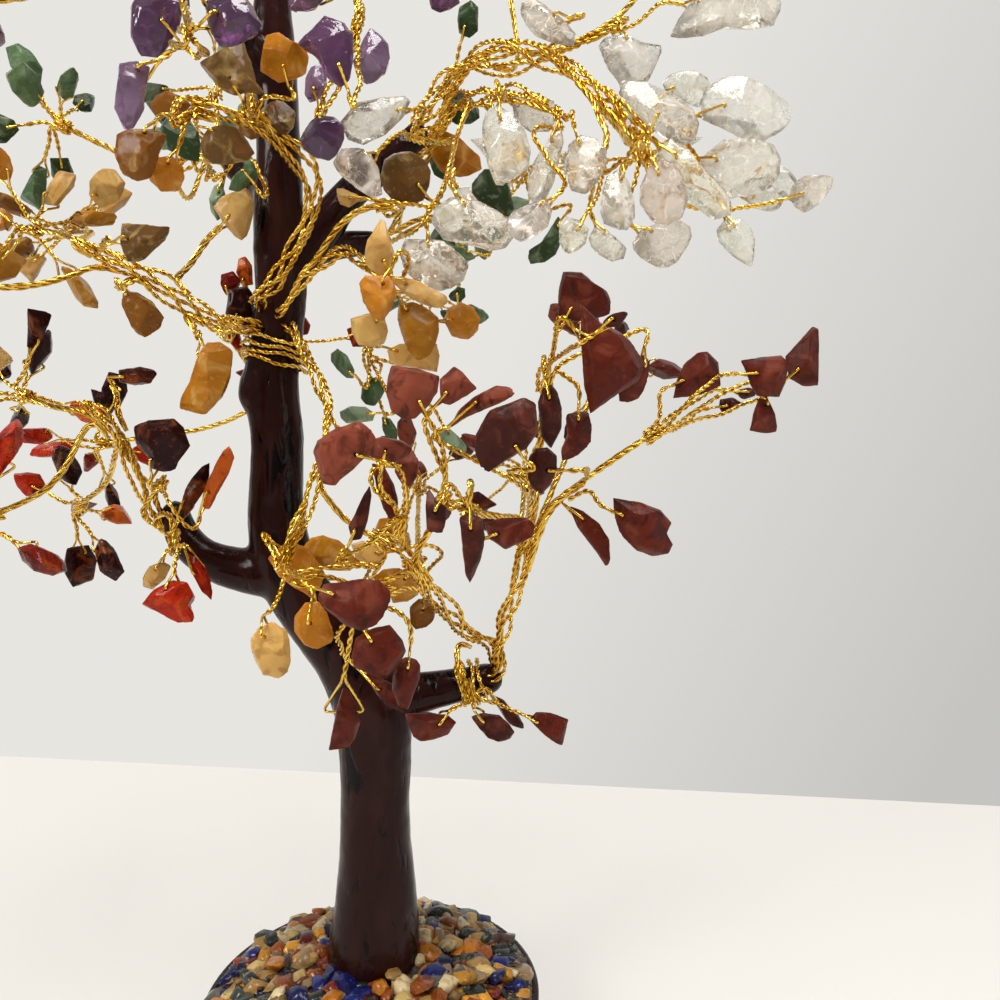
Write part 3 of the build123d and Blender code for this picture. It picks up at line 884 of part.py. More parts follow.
def grow_stems(limb, plan, space):
    """Gives a limb its sprays, each with a stem that leaves the rope beside it."""
    taken = {}
    fans = list(plan.fans)
    fans += [Fan(index, [mm(*p) for p in stem], count) for index, stem, count in HIDDEN.get(plan.name, [])]
    for fan in fans:
        here = limb.rope[fan.rope_point]
        axis = unit(here - limb.rope[fan.rope_point - 1])
        used = taken.setdefault(fan.rope_point, set())
        start = ring_start(here, axis, fan.stem[0] - here, limb.radius, STEM_RADIUS, used)
        chips = fan.chips if isinstance(fan.chips, list) else []
        stem = eased([start - axis * PEEL, start + axis * STEM_LEAVE] + fan.stem, STEM_RADIUS)
        limb.sprays.append(Spray(stem, chips, 0 if chips else fan.chips))
        space.add(stem[1:], STEM_RADIUS)


def place_seen(limb, spray, space):
    """Places the chips that the photograph shows, each at the first depth that is clear."""
    for number, chip in enumerate(spray.chips):
        seed = f"{limb.name} {limb.sprays.index(spray)} {number}"
        options, gaps = [seen_stone(seed, chip, shift) for shift in DEPTH_SHIFTS], []
        for stone in options:
            gaps.append(stone.gap(space))
            if gaps[-1] >= CLEAR:
                break
        best = options[gaps.index(max(gaps))]
        best.add_to(space)
        spray.stones.append(best)


def place_hidden(limb, spray, space, circles):
    """Places chips that the photograph doesn't show, and leaves out each one that finds no clear place."""
    for number in range(spray.hidden):
        seed = f"{limb.name} {limb.sprays.index(spray)} {number}"
        for attempt in range(HIDDEN_TRIES):
            stone = hidden_stone(seed, spray.hub, spray.axis, number, spray.hidden, attempt)
            if not stands_out(stone, circles) and stone.gap(space) >= CLEAR:
                stone.add_to(space)
                spray.stones.append(stone)
                break


def spread_twigs(spray, space):
    """Gives each chip of a spray its twisted pair, bent so that it passes clear of the rest."""
    taken = set()
    for stone in spray.stones:
        start = ring_start(spray.hub, spray.axis, stone.neck - spray.hub, STEM_RADIUS, PAIR_RADIUS, taken)
        options, gaps = [twig_route(start, spray.axis, stone, bend) for bend in BENDS], []
        for route in options:
            middle = samples(route[1:])[TWIG_ENDS:-TWIG_ENDS]
            gaps.append(space.gap(middle, PAIR_RADIUS) if len(middle) else NEAR)
            if gaps[-1] >= CLEAR:
                break
        stone.twig = options[gaps.index(max(gaps))]
        space.add(stone.twig[1:], PAIR_RADIUS)


def twig_route(start, axis, stone, bend):
    """A pair's line from beside the stem's end to the chip's neck, bent sideways in the middle."""
    leave, reach = start + axis * TWIG_LEAVE, np.linalg.norm(stone.neck - start)
    arrive = stone.neck - stone.along * min(3.4, 0.3 * reach)
    run = unit(arrive - leave + axis * 0.01)
    first = across(np.array([0.2, 1.0, 0.4]), run)
    second = np.cross(run, first)
    middle = (leave + arrive) / 2 + (first * bend[0] + second * bend[1]) * min(1.0, reach / 14)
    return eased([start - axis * PEEL, leave, middle, arrive, stone.neck], PAIR_RADIUS)


def hung_stone(entry, limbs):
    """A chip that hangs in an open loop, with its pair of wires."""
    limb = next(limb for limb in limbs if limb.name == entry.limb)
    stone = Stone(entry.node, entry.hole, mm(0, 0, -1), mm(0, -1, 0), entry.outline, entry.thick, (0.0, 0.0),
                  entry.drilled_across, HUNG_SPREAD)
    here = limb.rope[entry.rope_point]
    axis = unit(here - limb.rope[entry.rope_point - 1])
    start = ring_start(here, axis, entry.pair[0] - here, limb.radius, PAIR_RADIUS, set())
    stone.twig = eased([start - axis * PEEL, start + axis * TWIG_LEAVE] + entry.pair + [stone.neck], PAIR_RADIUS)
    return stone


def chip_solid(stone):
    """The chip as a flat-faced stone with two bevelled sides, before it is drilled."""
    rnd = random.Random(stone.seed + " faces")
    rings = []
    for lift in (stone.thick / 2, -stone.thick / 2):
        share, du, dv = rnd.uniform(0.62, 0.76), rnd.uniform(-0.3, 0.3), rnd.uniform(-0.3, 0.3)
        rings.append([Vector(*stone.point(u * share + du, v * share + dv, lift)) for u, v in stone.outline])
    top, bottom = rings
    rim = [Vector(*stone.point(u, v)) for u, v in stone.outline]
    faces = [Face(Wire.make_polygon(top)), Face(Wire.make_polygon(bottom))]
    for k in range(len(rim)):
        after = (k + 1) % len(rim)
        for ring in (top, bottom):
            faces.append(Face(Wire.make_polygon([rim[k], rim[after], ring[after], ring[k]])))
    return Solid(Shell(faces))


def drilled_chip(stone):
    """The chip with its hole."""
    plane = Plane(origin=Vector(*stone.hole), z_dir=Vector(*stone.bore))
    return chip_solid(stone) - plane * Cylinder(HOLE_RADIUS, 4 * stone.stand)


def turn_at(before, here, after):
    """The angle in radians by which a line of points turns."""
    return math.acos(max(-1.0, min(1.0, float(np.dot(unit(here - before), unit(after - here))))))


def corner_room(before, here, after):
    """The largest arc that a corner's runs allow."""
    shorter = min(np.linalg.norm(here - before), np.linalg.norm(after - here))
    return RUN_SHARE * shorter / math.tan(max(turn_at(before, here, after), STRAIGHT / 2) / 2)


def eased(points, radius):
    """A line without points in a row, each sharp corner squared into two, and each corner too tight for its tube left out."""
    line = [points[0]]
    for here, after in zip(points[1:], points[2:]):
        if turn_at(line[-1], here, after) <= STRAIGHT:
            continue
        back = unit(here - line[-1])
        aside = (after - here) - back * np.dot(after - here, back)
        runs = min(np.linalg.norm(here - line[-1]), np.linalg.norm(after - here))
        if turn_at(line[-1], here, after) > SHARP and np.linalg.norm(aside) > 0.01 and runs > SQUARE * radius:
            line += [here, here + unit(aside) * SQUARE * radius]
        else:
            line.append(here)
    line.append(points[-1])
    while len(line) > 2:
        rooms = [corner_room(*line[k - 1: k + 2]) for k in range(1, len(line) - 1)]
        if min(rooms) >= TIGHTEST * radius:
            break
        del line[rooms.index(min(rooms)) + 1]
    return line


def tube(points, radius, largest=math.inf):
    """A round tube along straight runs that are joined by arcs as large as the runs allow."""
    kept = [points[0]]
    for here, after in zip(points[1:], points[2:]):
        if turn_at(kept[-1], here, after) > STRAIGHT:
            kept.append(here)
    points = kept + [points[-1]]
    radii = [min(largest, corner_room(*corner)) for corner in zip(points, points[1:], points[2:])]
    vectors = [Vector(*p) for p in points]
    path = FilletPolyline(*vectors, radius=radii) if len(points) > 2 else Line(*vectors)
    section = Plane(origin=path @ 0, z_dir=path % 0) * Circle(radius)
    return sweep(section, path=path)


def spine_solid(spine):
    """A smooth limb of the trunk through circles square to its spine."""
    points = [mm(*s[:3]) for s in spine]
    sections = []
    for k, (point, (_, _, _, radius)) in enumerate(zip(points, spine)):
        before, after = points[max(k - 1, 0)], points[min(k + 1, len(points) - 1)]
        plane = Plane(origin=Vector(*point), z_dir=Vector(*unit(after - before)), x_dir=Vector(0, 1, 0))
        sections.append(plane * Circle(radius))
    return loft(sections)


def core_line():
    """The line of the wire core inside the trunk."""
    return [mm(0, 0, CORE_DEPTH)] + [mm(*s[:3]) + mm(0.05 * k, 0, 0) for k, s in enumerate(SPINES["trunk"][2:-1:2])]


def make_trunk(limbs):
    """The moulded trunk and its branches, bored for the core and for each rope's root."""
    body = spine_solid(SPINES["trunk"])
    for name, spine in SPINES.items():
        if name != "trunk":
            body = body + spine_solid(spine)
    body = body + Pos(*KNOB_PLACE) * scale(Sphere(1), by=KNOB_RADII)
    for name, spine in SPINES.items():
        if name != "trunk":
            body = body + Pos(*spine[-1][:3]) * Sphere(spine[-1][3] * TIP_SHARE)
    body = body - tube(core_line(), CORE_RADIUS)
    for limb in limbs:
        body = body - tube(limb.rope[:3], limb.radius)
    return body


def make_plinth():
    """The round wooden plinth with its recess."""
    body = Pos(0, 0, PLINTH_HEIGHT / 2) * Cylinder(PLINTH_RADIUS, PLINTH_HEIGHT)
    body = fillet(body.edges().filter_by(GeomType.CIRCLE), PLINTH_EDGE)
    return body - Pos(0, 0, PLINTH_HEIGHT) * Cylinder(RECESS_RADIUS, 2 * RECESS_DEPTH)


def make_bed(trunk):
    """The resin that fills the plinth's recess and is heaped up to the trunk's foot."""
    bed = Pos(0, 0, PLINTH_HEIGHT - RECESS_DEPTH / 2) * Cylinder(RECESS_RADIUS, RECESS_DEPTH)
    mound = Pos(0, 0, PLINTH_HEIGHT + MOUND_HEIGHT / 2) * Cone(RECESS_RADIUS, MOUND_TOP, MOUND_HEIGHT)
    return bed + mound - trunk - tube(core_line(), CORE_RADIUS)


def gravel_pieces():
    """Each gravel piece as (node, x, y, size, height, turn), on a sunflower pattern round the trunk's foot."""
    pieces, number = [], 0
    rnd = random.Random("gravel")
    nodes, shares = zip(*GRAVEL)
    while True:
        radius = GRAVEL_SPACING * math.sqrt(number + 0.5)
        turn = GOLDEN_ANGLE * number
        number += 1
        if radius > RECESS_RADIUS - GRAVEL_SIZE[1] / 2 - GRAVEL_RIM:
            return pieces
        node, size, height = rnd.choices(nodes, shares)[0], rnd.uniform(*GRAVEL_SIZE), rnd.uniform(*GRAVEL_HEIGHT)
        if radius > GRAVEL_INNER:
            pieces.append((node, radius * math.cos(turn), radius * math.sin(turn), size, height, rnd.uniform(0, 360)))


def gravel_solid(number, x, y, size, height, turn):
    """One gravel piece, flat where it sits on the resin's slope."""
    rnd = random.Random(f"gravel {number}")
    count = rnd.choice((5, 6, 7))
    corners = [2 * math.pi * (k + rnd.uniform(-0.2, 0.2)) / count for k in range(count)]
    reach = [size / 2 * rnd.uniform(0.72, 1.0) for _ in corners]
    flat = [(math.cos(a) * r, math.sin(a) * r * GRAVEL_FLAT) for a, r in zip(corners, reach)]
    rings = [[Vector(u * share, v * share, height * lift) for u, v in flat] for lift, share in GRAVEL_LEVELS]
    faces = [Face(Wire.make_polygon(rings[0])), Face(Wire.make_polygon(rings[2]))]
    for low, high in zip(rings, rings[1:]):
        for k in range(count):
            after = (k + 1) % count
            faces.append(Face(Wire.make_polygon([low[k], low[after], high[after], high[k]])))
    level = PLINTH_HEIGHT + (RECESS_RADIUS - math.hypot(x, y)) * math.tan(MOUND_SLOPE)
    place = Pos(x, y, level) * Rot(0, 0, math.degrees(math.atan2(y, x))) * Rot(0, math.degrees(MOUND_SLOPE), 0)
    return place * Rot(0, 0, turn) * Solid(Shell(faces))


def winding(start, axis, radius, turns):
    """A pair of wires wound round an axis, as one tube along two tangent arcs for each quarter turn, with straight ends."""
    first = across(np.array([0.1, 1.0, 0.05]), axis)
    second = np.cross(axis, first)
    rise = WINDING_PITCH / (2 * math.pi)

    def here(turn):
        return start + (first * math.cos(turn) + second * math.sin(turn)) * radius + axis * rise * turn

    def heading(turn):
        return unit((second * math.cos(turn) - first * math.sin(turn)) * radius + axis * rise)

    ends = here(0) - heading(0) * 2 * PAIR_RADIUS, here(2 * math.pi * turns) + heading(2 * math.pi * turns) * 2 * PAIR_RADIUS
    edges = [Line(Vector(*ends[0]), Vector(*here(0)))]
    for quarter in range(4 * turns):
        low, high = quarter * math.pi / 2, (quarter + 1) * math.pi / 2
        chord, both = here(high) - here(low), heading(low) + heading(high)
        share, half = 4 - np.dot(both, both), np.dot(chord, both)
        reach = (math.sqrt(half * half + share * np.dot(chord, chord)) - half) / share
        lead, trail = here(low) + heading(low) * reach, here(high) - heading(high) * reach
        middle = (lead + trail) / 2
        edges.append(TangentArc(Vector(*here(low)), Vector(*middle), tangent=Vector(*heading(low))))
        edges.append(TangentArc(Vector(*middle), Vector(*here(high)), tangent=Vector(*(trail - lead))))
    edges.append(Line(Vector(*here(2 * math.pi * turns)), Vector(*ends[1])))
    points = np.array([here(2 * math.pi * k / 60) for k in range(60 * turns)])
    apart = np.linalg.norm(points[30:, None] - points[None, :-30], axis=2)
    far = np.abs(np.arange(30, 60 * turns)[:, None] - np.arange(60 * turns - 30)[None]) >= 30
    print(f"winding: least gap to itself {apart[far].min() - 2 * PAIR_RADIUS:.2f} mm")
    section = Plane(origin=Vector(*ends[0]), z_dir=Vector(*heading(0))) * Circle(PAIR_RADIUS)
    return sweep(section, path=Wire([edge.edge() for edge in edges]))


def make_knob_winding():
    """The pair of wires wound round the trunk above the knob."""
    low, high = (mm(*SPINES["trunk"][k][:3]) for k in WINDING_SPAN)
    axis = unit(high - low)
    start = low + axis * (WINDING_LOW - low[2]) / axis[2]
    return winding(start, axis, WINDING_RADIUS, WINDING_TURNS)


def make_stub_winding():
    """The pair of wires wound round the end of the right stub."""
    before, end = (mm(*s[:3]) for s in SPINES["right_stub"][-2:])
    axis = unit(end - before)
    start = end - axis * (WINDING_PITCH * STUB_WINDING_TURNS + STUB_WINDING_BACK)
    return winding(start, axis, SPINES["right_stub"][-1][3] + STUB_WINDING_STAND, STUB_WINDING_TURNS)


def limb_nodes(limb):
    """The rope with its stems, the twigs with their loops, and the chips of one limb."""
    ropes = [tube(limb.rope, limb.radius)] + [tube(spray.stem, STEM_RADIUS) for spray in limb.sprays]
    twigs, chips = [], []
    for spray in limb.sprays:
        for stone in spray.stones:
            twigs += twig_solids(stone)
            chips.append(drilled_chip(stone))
    return {f"{limb.name}_rope": ropes, f"{limb.name}_twigs": twigs, f"{limb.name}_stones": chips}


def twig_solids(stone):
    """A chip's twisted pair and the loop of single wire that stands on its end."""
    inward = unit(stone.twig[-1] - stone.twig[-2])
    return [tube(stone.twig, PAIR_RADIUS), tube(stone.loop(inward), WIRE_RADIUS, LOOP_BEND)]


def write(name, solids):
    """Writes one node's solids as a STEP file."""
    made = Compound(children=[s for shape in solids for s in shape.solids()])
    export_step(made, f"parts/{name}.step")


def main():
    """Builds every piece and writes it."""
    os.makedirs("parts", exist_ok=True)
    limbs, hung = grow()
    trunk = make_trunk(limbs)
    write("plinth", [make_plinth() - trunk - tube(core_line(), CORE_RADIUS)])
    write("trunk", [trunk])
    write("trunk_core", [tube(core_line(), CORE_RADIUS)])
    write("resin_bed", [make_bed(trunk)])
    write("knob_winding", [make_knob_winding()])
    write("stub_winding", [make_stub_winding()])
    gravel = {node: [] for node, _ in GRAVEL}
    for number, (node, *size) in enumerate(gravel_pieces()):
        gravel[node].append(gravel_solid(number, *size))
    for node, pieces in gravel.items():
        write(node, pieces)
    hung_twigs = {}
    for stone, entry in zip(hung, HUNG):
        write(entry.node, [drilled_chip(stone)])
        hung_twigs.setdefault(entry.limb, []).extend(twig_solids(stone))
    for limb in limbs:
        for node, solids in limb_nodes(limb).items():
            if node.endswith("_twigs"):
                solids = solids + hung_twigs.get(limb.name, [])
            write(node, solids)


if __name__ == "__main__":
    main()
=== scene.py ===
"""Gemstone tree ornament: twisted gilt wires, tumbled chips, a lacquered trunk and a gravel-topped plinth."""
import logging
import math
import random
from dataclasses import dataclass, field
from enum import Enum
from typing import Any, Optional, Sequence, Union

import bmesh
import bpy
import numpy as np
from mathutils import Matrix, Vector, noise


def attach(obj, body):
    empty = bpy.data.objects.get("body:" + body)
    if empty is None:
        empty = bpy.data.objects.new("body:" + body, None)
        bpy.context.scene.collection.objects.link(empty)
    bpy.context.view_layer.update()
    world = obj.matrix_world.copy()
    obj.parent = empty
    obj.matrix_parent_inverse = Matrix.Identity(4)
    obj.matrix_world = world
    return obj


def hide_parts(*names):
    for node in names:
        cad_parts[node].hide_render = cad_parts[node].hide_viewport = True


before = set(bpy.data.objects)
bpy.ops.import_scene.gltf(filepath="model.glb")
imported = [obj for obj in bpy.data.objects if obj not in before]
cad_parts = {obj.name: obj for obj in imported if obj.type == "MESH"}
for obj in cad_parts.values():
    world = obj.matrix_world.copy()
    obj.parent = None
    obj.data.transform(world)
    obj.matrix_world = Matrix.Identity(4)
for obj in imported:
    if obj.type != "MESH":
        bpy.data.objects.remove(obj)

logging.basicConfig(level=logging.INFO, format="%(message)s")
LOG = logging.getLogger("tree")

MM = 0.001
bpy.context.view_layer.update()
Colour = tuple[float, float, float]

# A direction that no wire of the tree runs along, from which the windings are counted
ASKEW = np.array([0.31, -0.87, 0.38])

# A straying wire turns over about the first length, and is held in place for the second at each end
STRAY_WAVE, STRAY_HOLD = 6 * MM, 5 * MM

# The Mix node's colour sockets by number: its two inputs and its result
MIX_LOW, MIX_HIGH, MIX_RESULT = 6, 7, 2


class Signal:
    """A shader socket that takes part in Python arithmetic by adding Math nodes."""

    def __init__(self, paint: "Paint", socket: bpy.types.NodeSocket) -> None:
        """Wraps a socket.

        Args:
            paint: The material that the socket belongs to.
            socket: The output socket.
        """
        self.paint = paint
        self.socket = socket

    def _maths(self, operation: str, first: Any, second: Any) -> "Signal":
        """Adds one Math node.

        Args:
            operation: The node's operation.
            first: Its first value or signal.
            second: Its second value or signal.

        Returns:
            The node's result.
        """
        return self.paint.node("ShaderNodeMath", {"operation": operation}, {0: first, 1: second})

    def __add__(self, other: Any) -> "Signal":
        """The sum."""
        return self._maths("ADD", self, other)

    __radd__ = __add__

    def __sub__(self, other: Any) -> "Signal":
        """The difference."""
        return self._maths("SUBTRACT", self, other)

    def __rsub__(self, other: Any) -> "Signal":
        """The difference, the other way round."""
        return self._maths("SUBTRACT", other, self)

    def __mul__(self, other: Any) -> "Signal":
        """The product."""
        return self._maths("MULTIPLY", self, other)

    __rmul__ = __mul__

    def clamped(self) -> "Signal":
        """The value held between 0 and 1."""
        return self.paint.node("ShaderNodeClamp", None, {"Value": self})


class Paint:
    """A node material under construction."""

    def __init__(self, name: str) -> None:
        """Begins a material.

        Args:
            name: The material's name.
        """
        self.owner: bpy.types.ID = bpy.data.materials.new(name)
        self.owner.use_nodes = True
        self.tree = self.owner.node_tree
        self.shader = self.tree.nodes["Principled BSDF"]
        self.output = self.tree.nodes["Material Output"]

    def feed(self, socket: bpy.types.NodeSocket, value: Any) -> None:
        """Links a signal to a socket, or sets the socket's own value.

        Args:
            socket: The input socket.
            value: A signal, a number or a colour.
        """
        if isinstance(value, Signal):
            self.tree.links.new(value.socket, socket)
        else:
            socket.default_value = value

    def node(self, kind: str, settings: Optional[dict] = None, inputs: Optional[dict] = None,
             output: Union[int, str] = 0) -> Signal:
        """Adds one node.

        Args:
            kind: The node's type.
            settings: Its settings, set before its inputs. A ramp's stops are (place, colour) pairs.
            inputs: Values or signals by socket name or number.
            output: Which output to give back.

        Returns:
            The chosen output.
        """
        made = self.tree.nodes.new(kind)
        for key, value in (settings or {}).items():
            if key == "stops":
                while len(made.color_ramp.elements) < len(value):
                    made.color_ramp.elements.new(0.5)
                for element, (place, colour) in zip(made.color_ramp.elements, value):
                    element.position = place
                    element.color = (*colour, 1.0)
            else:
                setattr(made, key, value)
        for key, value in (inputs or {}).items():
            self.feed(made.inputs[key], value)
        return Signal(self, made.outputs[output])

    def place(self) -> Signal:
        """The object coordinates."""
        return self.node("ShaderNodeTexCoord", output="Object")

    def cloud(self, size: float, detail: float = 3.0, shift: float = 0.0, warp: float = 0.0,
              upright: float = 1.0) -> Signal:
        """A noise whose blotches are about size across.

        Args:
            size: The blotches' size in metres.
            detail: The noise's detail.
            shift: Moves the pattern, so that two clouds of one size differ.
            warp: The noise's distortion.
            upright: The blotches' scale up the Z axis, below 1 for streaks.

        Returns:
            The noise, about 0.5 in the middle.
        """
        moved = {"Vector": self.place(), "Location": (shift, shift, shift), "Scale": (1.0, 1.0, upright)}
        where = self.node("ShaderNodeMapping", None, moved)
        return self.node("ShaderNodeTexNoise", None,
                         {"Vector": where, "Scale": 1 / size, "Detail": detail, "Distortion": warp})

    def cells(self, size: float, output: str = "Distance") -> Signal:
        """A pattern of cells about size across."""
        return self.node("ShaderNodeTexVoronoi", None, {"Vector": self.place(), "Scale": 1 / size}, output)

    def seams(self, size: float, warp: float, width: float) -> Signal:
        """Thin wavering lines between cells, 1 on a line and 0 beside it.

        Args:
            size: The cells' size in metres.
            warp: How far the lines waver, in metres.
            width: The lines' width as a share of a cell.

        Returns:
            The lines.
        """
        stir = self.node("ShaderNodeTexNoise", None, {"Vector": self.place(), "Scale": 1 / (2 * MM)}, "Color")
        stray = self.node("ShaderNodeVectorMath", {"operation": "SCALE"}, {0: stir, "Scale": warp})
        where = self.node("ShaderNodeVectorMath", {"operation": "ADD"}, {0: self.place(), 1: stray})
        edge = self.node("ShaderNodeTexVoronoi", {"feature": "DISTANCE_TO_EDGE"},
                         {"Vector": where, "Scale": 1 / size}, "Distance")
        return self.step(edge, width, 0.0)

    def ramp(self, value: Signal, stops: Sequence[tuple[float, Colour]]) -> Signal:
        """A colour ramp over a value."""
        return self.node("ShaderNodeValToRGB", {"stops": stops}, {0: value})

    def step(self, value: Signal, low: float, high: float) -> Signal:
        """A smooth step from 0 at low to 1 at high."""
        return self.node("ShaderNodeMapRange", {"interpolation_type": "SMOOTHSTEP"},
                         {"Value": value, "From Min": low, "From Max": high})

    def blend(self, factor: Any, low: Any, high: Any) -> Signal:
        """A mix of two colours.

        Args:
            factor: The share of the second.
            low: The first colour or signal.
            high: The second colour or signal.

        Returns:
            The mixed colour.
        """
        low, high = (value if isinstance(value, Signal) else (*value, 1.0) for value in (low, high))
        inputs = {0: factor, MIX_LOW: low, MIX_HIGH: high}
        return self.node("ShaderNodeMix", {"data_type": "RGBA"}, inputs, MIX_RESULT)

    def tint(self) -> Signal:
        """The piece's own tint attribute."""
        return self.node("ShaderNodeAttribute", {"attribute_name": "tint"}, output="Color")

    def bump(self, height: Signal, depth: float, strength: float = 1.0) -> Signal:
        """A bump from a height of up to depth metres."""
        inputs = {"Height": height, "Distance": depth, "Strength": strength}
        return self.node("ShaderNodeBump", None, inputs, "Normal")

    def rays(self) -> list[Signal]:
        """Whether a ray comes from the camera, from a mirroring surface or out of glass."""
        kinds = ("Camera", "Glossy", "Transmission")
        return [self.node("ShaderNodeLightPath", output=f"Is {kind} Ray") for kind in kinds]

    def overlaid(self, share: Signal, above: Signal) -> bpy.types.ID:
        """Lays a second shader over the main one.

        Args:
            share: The second shader's share.
            above: The second shader.

        Returns:
            The material or the world.
        """
        under = Signal(self, self.shader.outputs[0])
        mixed = self.node("ShaderNodeMixShader", None, {0: share, 1: under, 2: above})
        self.feed(self.output.inputs["Surface"], mixed)
        return self.owner

    def finish(self, **sockets: Any) -> bpy.types.ID:
        """Feeds the main shader.

        Args:
            sockets: Values by socket name, with underscores for spaces.

        Returns:
            The material or the world.
        """
        for name, value in sockets.items():
            socket = self.shader.inputs[name.replace("_", " ")]
            if isinstance(value, tuple) and len(value) == 3 and socket.type == "RGBA":
                value = (*value, 1.0)
            self.feed(socket, value)
        return self.owner


class Sky(Paint):
    """The world's nodes under construction."""

    def __init__(self, name: str) -> None:
        """Begins a world.

        Args:
            name: The world's name.
        """
        self.owner: bpy.types.ID = bpy.data.worlds.new(name)
        self.owner.use_nodes = True
        bpy.context.scene.world = self.owner
        self.tree = self.owner.node_tree
        self.shader = self.tree.nodes["Background"]
        self.output = self.tree.nodes["World Output"]


@dataclass(frozen=True)
class Lacquer:
    """Gloss lacquer over a dark ground, with black mottling where the brush left it thick."""

    name: str = "trunk_lacquer"
    body: Colour = (0.019, 0.0044, 0.0034)
    mottle: Colour = (0.0024, 0.001, 0.0008)
    worn: Colour = (0.034, 0.0096, 0.0074)

    def material(self) -> bpy.types.Material:
        """The lacquer's material."""
        paint = Paint(self.name)
        wide, fine = paint.cloud(9 * MM, 4, 0.3, 0.6, 0.3), paint.cloud(1.6 * MM, 5, 0.7)
        colour = paint.blend(paint.step(wide, 0.45, 0.68), self.body, self.worn)
        dent = paint.step(paint.cloud(3.4 * MM, 4, 0.9, 0.8, 0.24), 0.43, 0.33)
        colour = paint.blend(dent, colour, self.mottle)
        speck = paint.step(paint.cells(1.1 * MM), 0.16, 0.08) * paint.step(fine, 0.56, 0.66)
        colour = paint.blend(speck, colour, self.mottle)
        height = wide * 0.6 + fine * 0.2 - dent * 0.5
        return paint.finish(Base_Color=colour, Roughness=fine * 0.16 + 0.08, IOR=1.5, Specular_IOR_Level=0.13,
                            Normal=paint.bump(height, 0.45 * MM, 0.55))


@dataclass(frozen=True)
class Gilt:
    """Bright gilt wire, with small changes of tone along it."""

    name: str = "gilt_wire"
    bright: Colour = (0.9, 0.6, 0.11)
    deep: Colour = (0.64, 0.35, 0.03)

    def material(self) -> bpy.types.Material:
        """The wire's material."""
        paint = Paint(self.name)
        tone, grain = paint.cloud(5 * MM, 2, 0.2), paint.cloud(0.5 * MM, 2, 0.9)
        colour = paint.blend(paint.step(tone, 0.35, 0.65), self.deep, self.bright)
        return paint.finish(Base_Color=colour, Metallic=1.0, Roughness=grain * 0.14 + 0.15,
                            Normal=paint.bump(grain, 0.03 * MM, 0.3))


@dataclass(frozen=True)
class OpaqueStone:
    """A polished opaque stone whose tint is banded and flecked."""

    name: str
    band: Colour
    fleck: Colour
    banding: float
    gloss: float
    sheen_through: float = 0.0
    lift: float = 0.4
    veining: float = 0.25

    def material(self) -> bpy.types.Material:
        """The stone's material."""
        paint = Paint(self.name)
        wide, fine = paint.cloud(5.5 * MM, 4, 0.15, 1.2), paint.cloud(0.9 * MM, 5, 0.55)
        tint = paint.tint()
        light = paint.blend(paint.step(wide, 0.5, 0.7) * self.lift, tint, self.fleck)
        colour = paint.blend(paint.step(wide, 0.47, 0.36) * self.banding, light, self.band)
        colour = paint.blend(paint.step(fine, 0.58, 0.74) * 0.2, colour, self.fleck)
        seam = paint.seams(7.5 * MM, 2.8 * MM, 0.06) * paint.step(wide, 0.4, 0.6)
        colour = paint.blend(seam * self.veining, colour, self.band)
        return paint.finish(Base_Color=colour, Roughness=fine * 0.22 + self.gloss, IOR=1.5,
                            Specular_IOR_Level=0.12, Subsurface_Weight=self.sheen_through,
                            Subsurface_Radius=(1.0, 0.4, 0.2), Subsurface_Scale=1.2 * MM,
                            Normal=paint.bump(fine * 0.6 + wide * 0.4, 0.12 * MM, 0.55))


@dataclass(frozen=True)
class GlassyStone:
    """A polished clear stone with milky veils and cracks inside: a mix of a glassy and a milky shader."""

    name: str
    milk: Colour
    vein: Colour
    clear_share: float
    veiling: float
    cracking: float = 0.4
    rough: float = 0.06

    def material(self) -> bpy.types.Material:
        """The stone's material."""
        paint = Paint(self.name)
        wide, fine = paint.cloud(6.5 * MM, 2, 0.35, 1.0), paint.cloud(1.4 * MM, 2, 0.65)
        cracks = paint.seams(4.2 * MM, 2.6 * MM, 0.06) * paint.step(fine, 0.4, 0.55)
        tint = paint.tint()
        colour = paint.blend(paint.step(wide, 0.5, 0.74) * self.veiling, tint, self.vein)
        bump = paint.bump(fine * 0.15 + wide * 0.6 - cracks * 0.2, 0.25 * MM, 0.45)
        milky = paint.node("ShaderNodeBsdfPrincipled", None, {
            "Base Color": paint.blend(0.5, tint, self.milk), "Roughness": 0.12, "Subsurface Weight": 0.6,
            "Subsurface Scale": 2.5 * MM, "Subsurface Radius": (1.0, 0.9, 0.8), "Normal": bump})
        paint.finish(Base_Color=colour, Transmission_Weight=1.0, Roughness=self.rough, IOR=1.48, Normal=bump)
        veil = paint.step(wide, 0.48, 0.7) * 0.34
        share = (veil + cracks * self.cracking + (1 - self.clear_share)).clamped()
        return paint.overlaid(share, milky)


@dataclass(frozen=True)
class Pebble:
    """A gravel chip under a skin of clear resin."""

    name: str
    dark: Colour

    def material(self) -> bpy.types.Material:
        """The chip's material."""
        paint = Paint(self.name)
        wide, fine = paint.cloud(2.2 * MM, 3, 0.45, 0.8), paint.cloud(0.5 * MM, 4, 0.25)
        colour = paint.blend(paint.step(wide, 0.48, 0.72) * 0.7, paint.tint(), self.dark)
        colour = paint.blend(paint.step(fine, 0.58, 0.74) * 0.2, colour, (0.7, 0.55, 0.35))
        return paint.finish(Base_Color=colour, Roughness=fine * 0.15 + 0.3, Specular_IOR_Level=0.15,
                            Coat_Weight=0.6, Coat_Roughness=0.04, Coat_IOR=1.4,
                            Normal=paint.bump(fine * 0.4 + wide * 0.6, 0.2 * MM, 0.6))


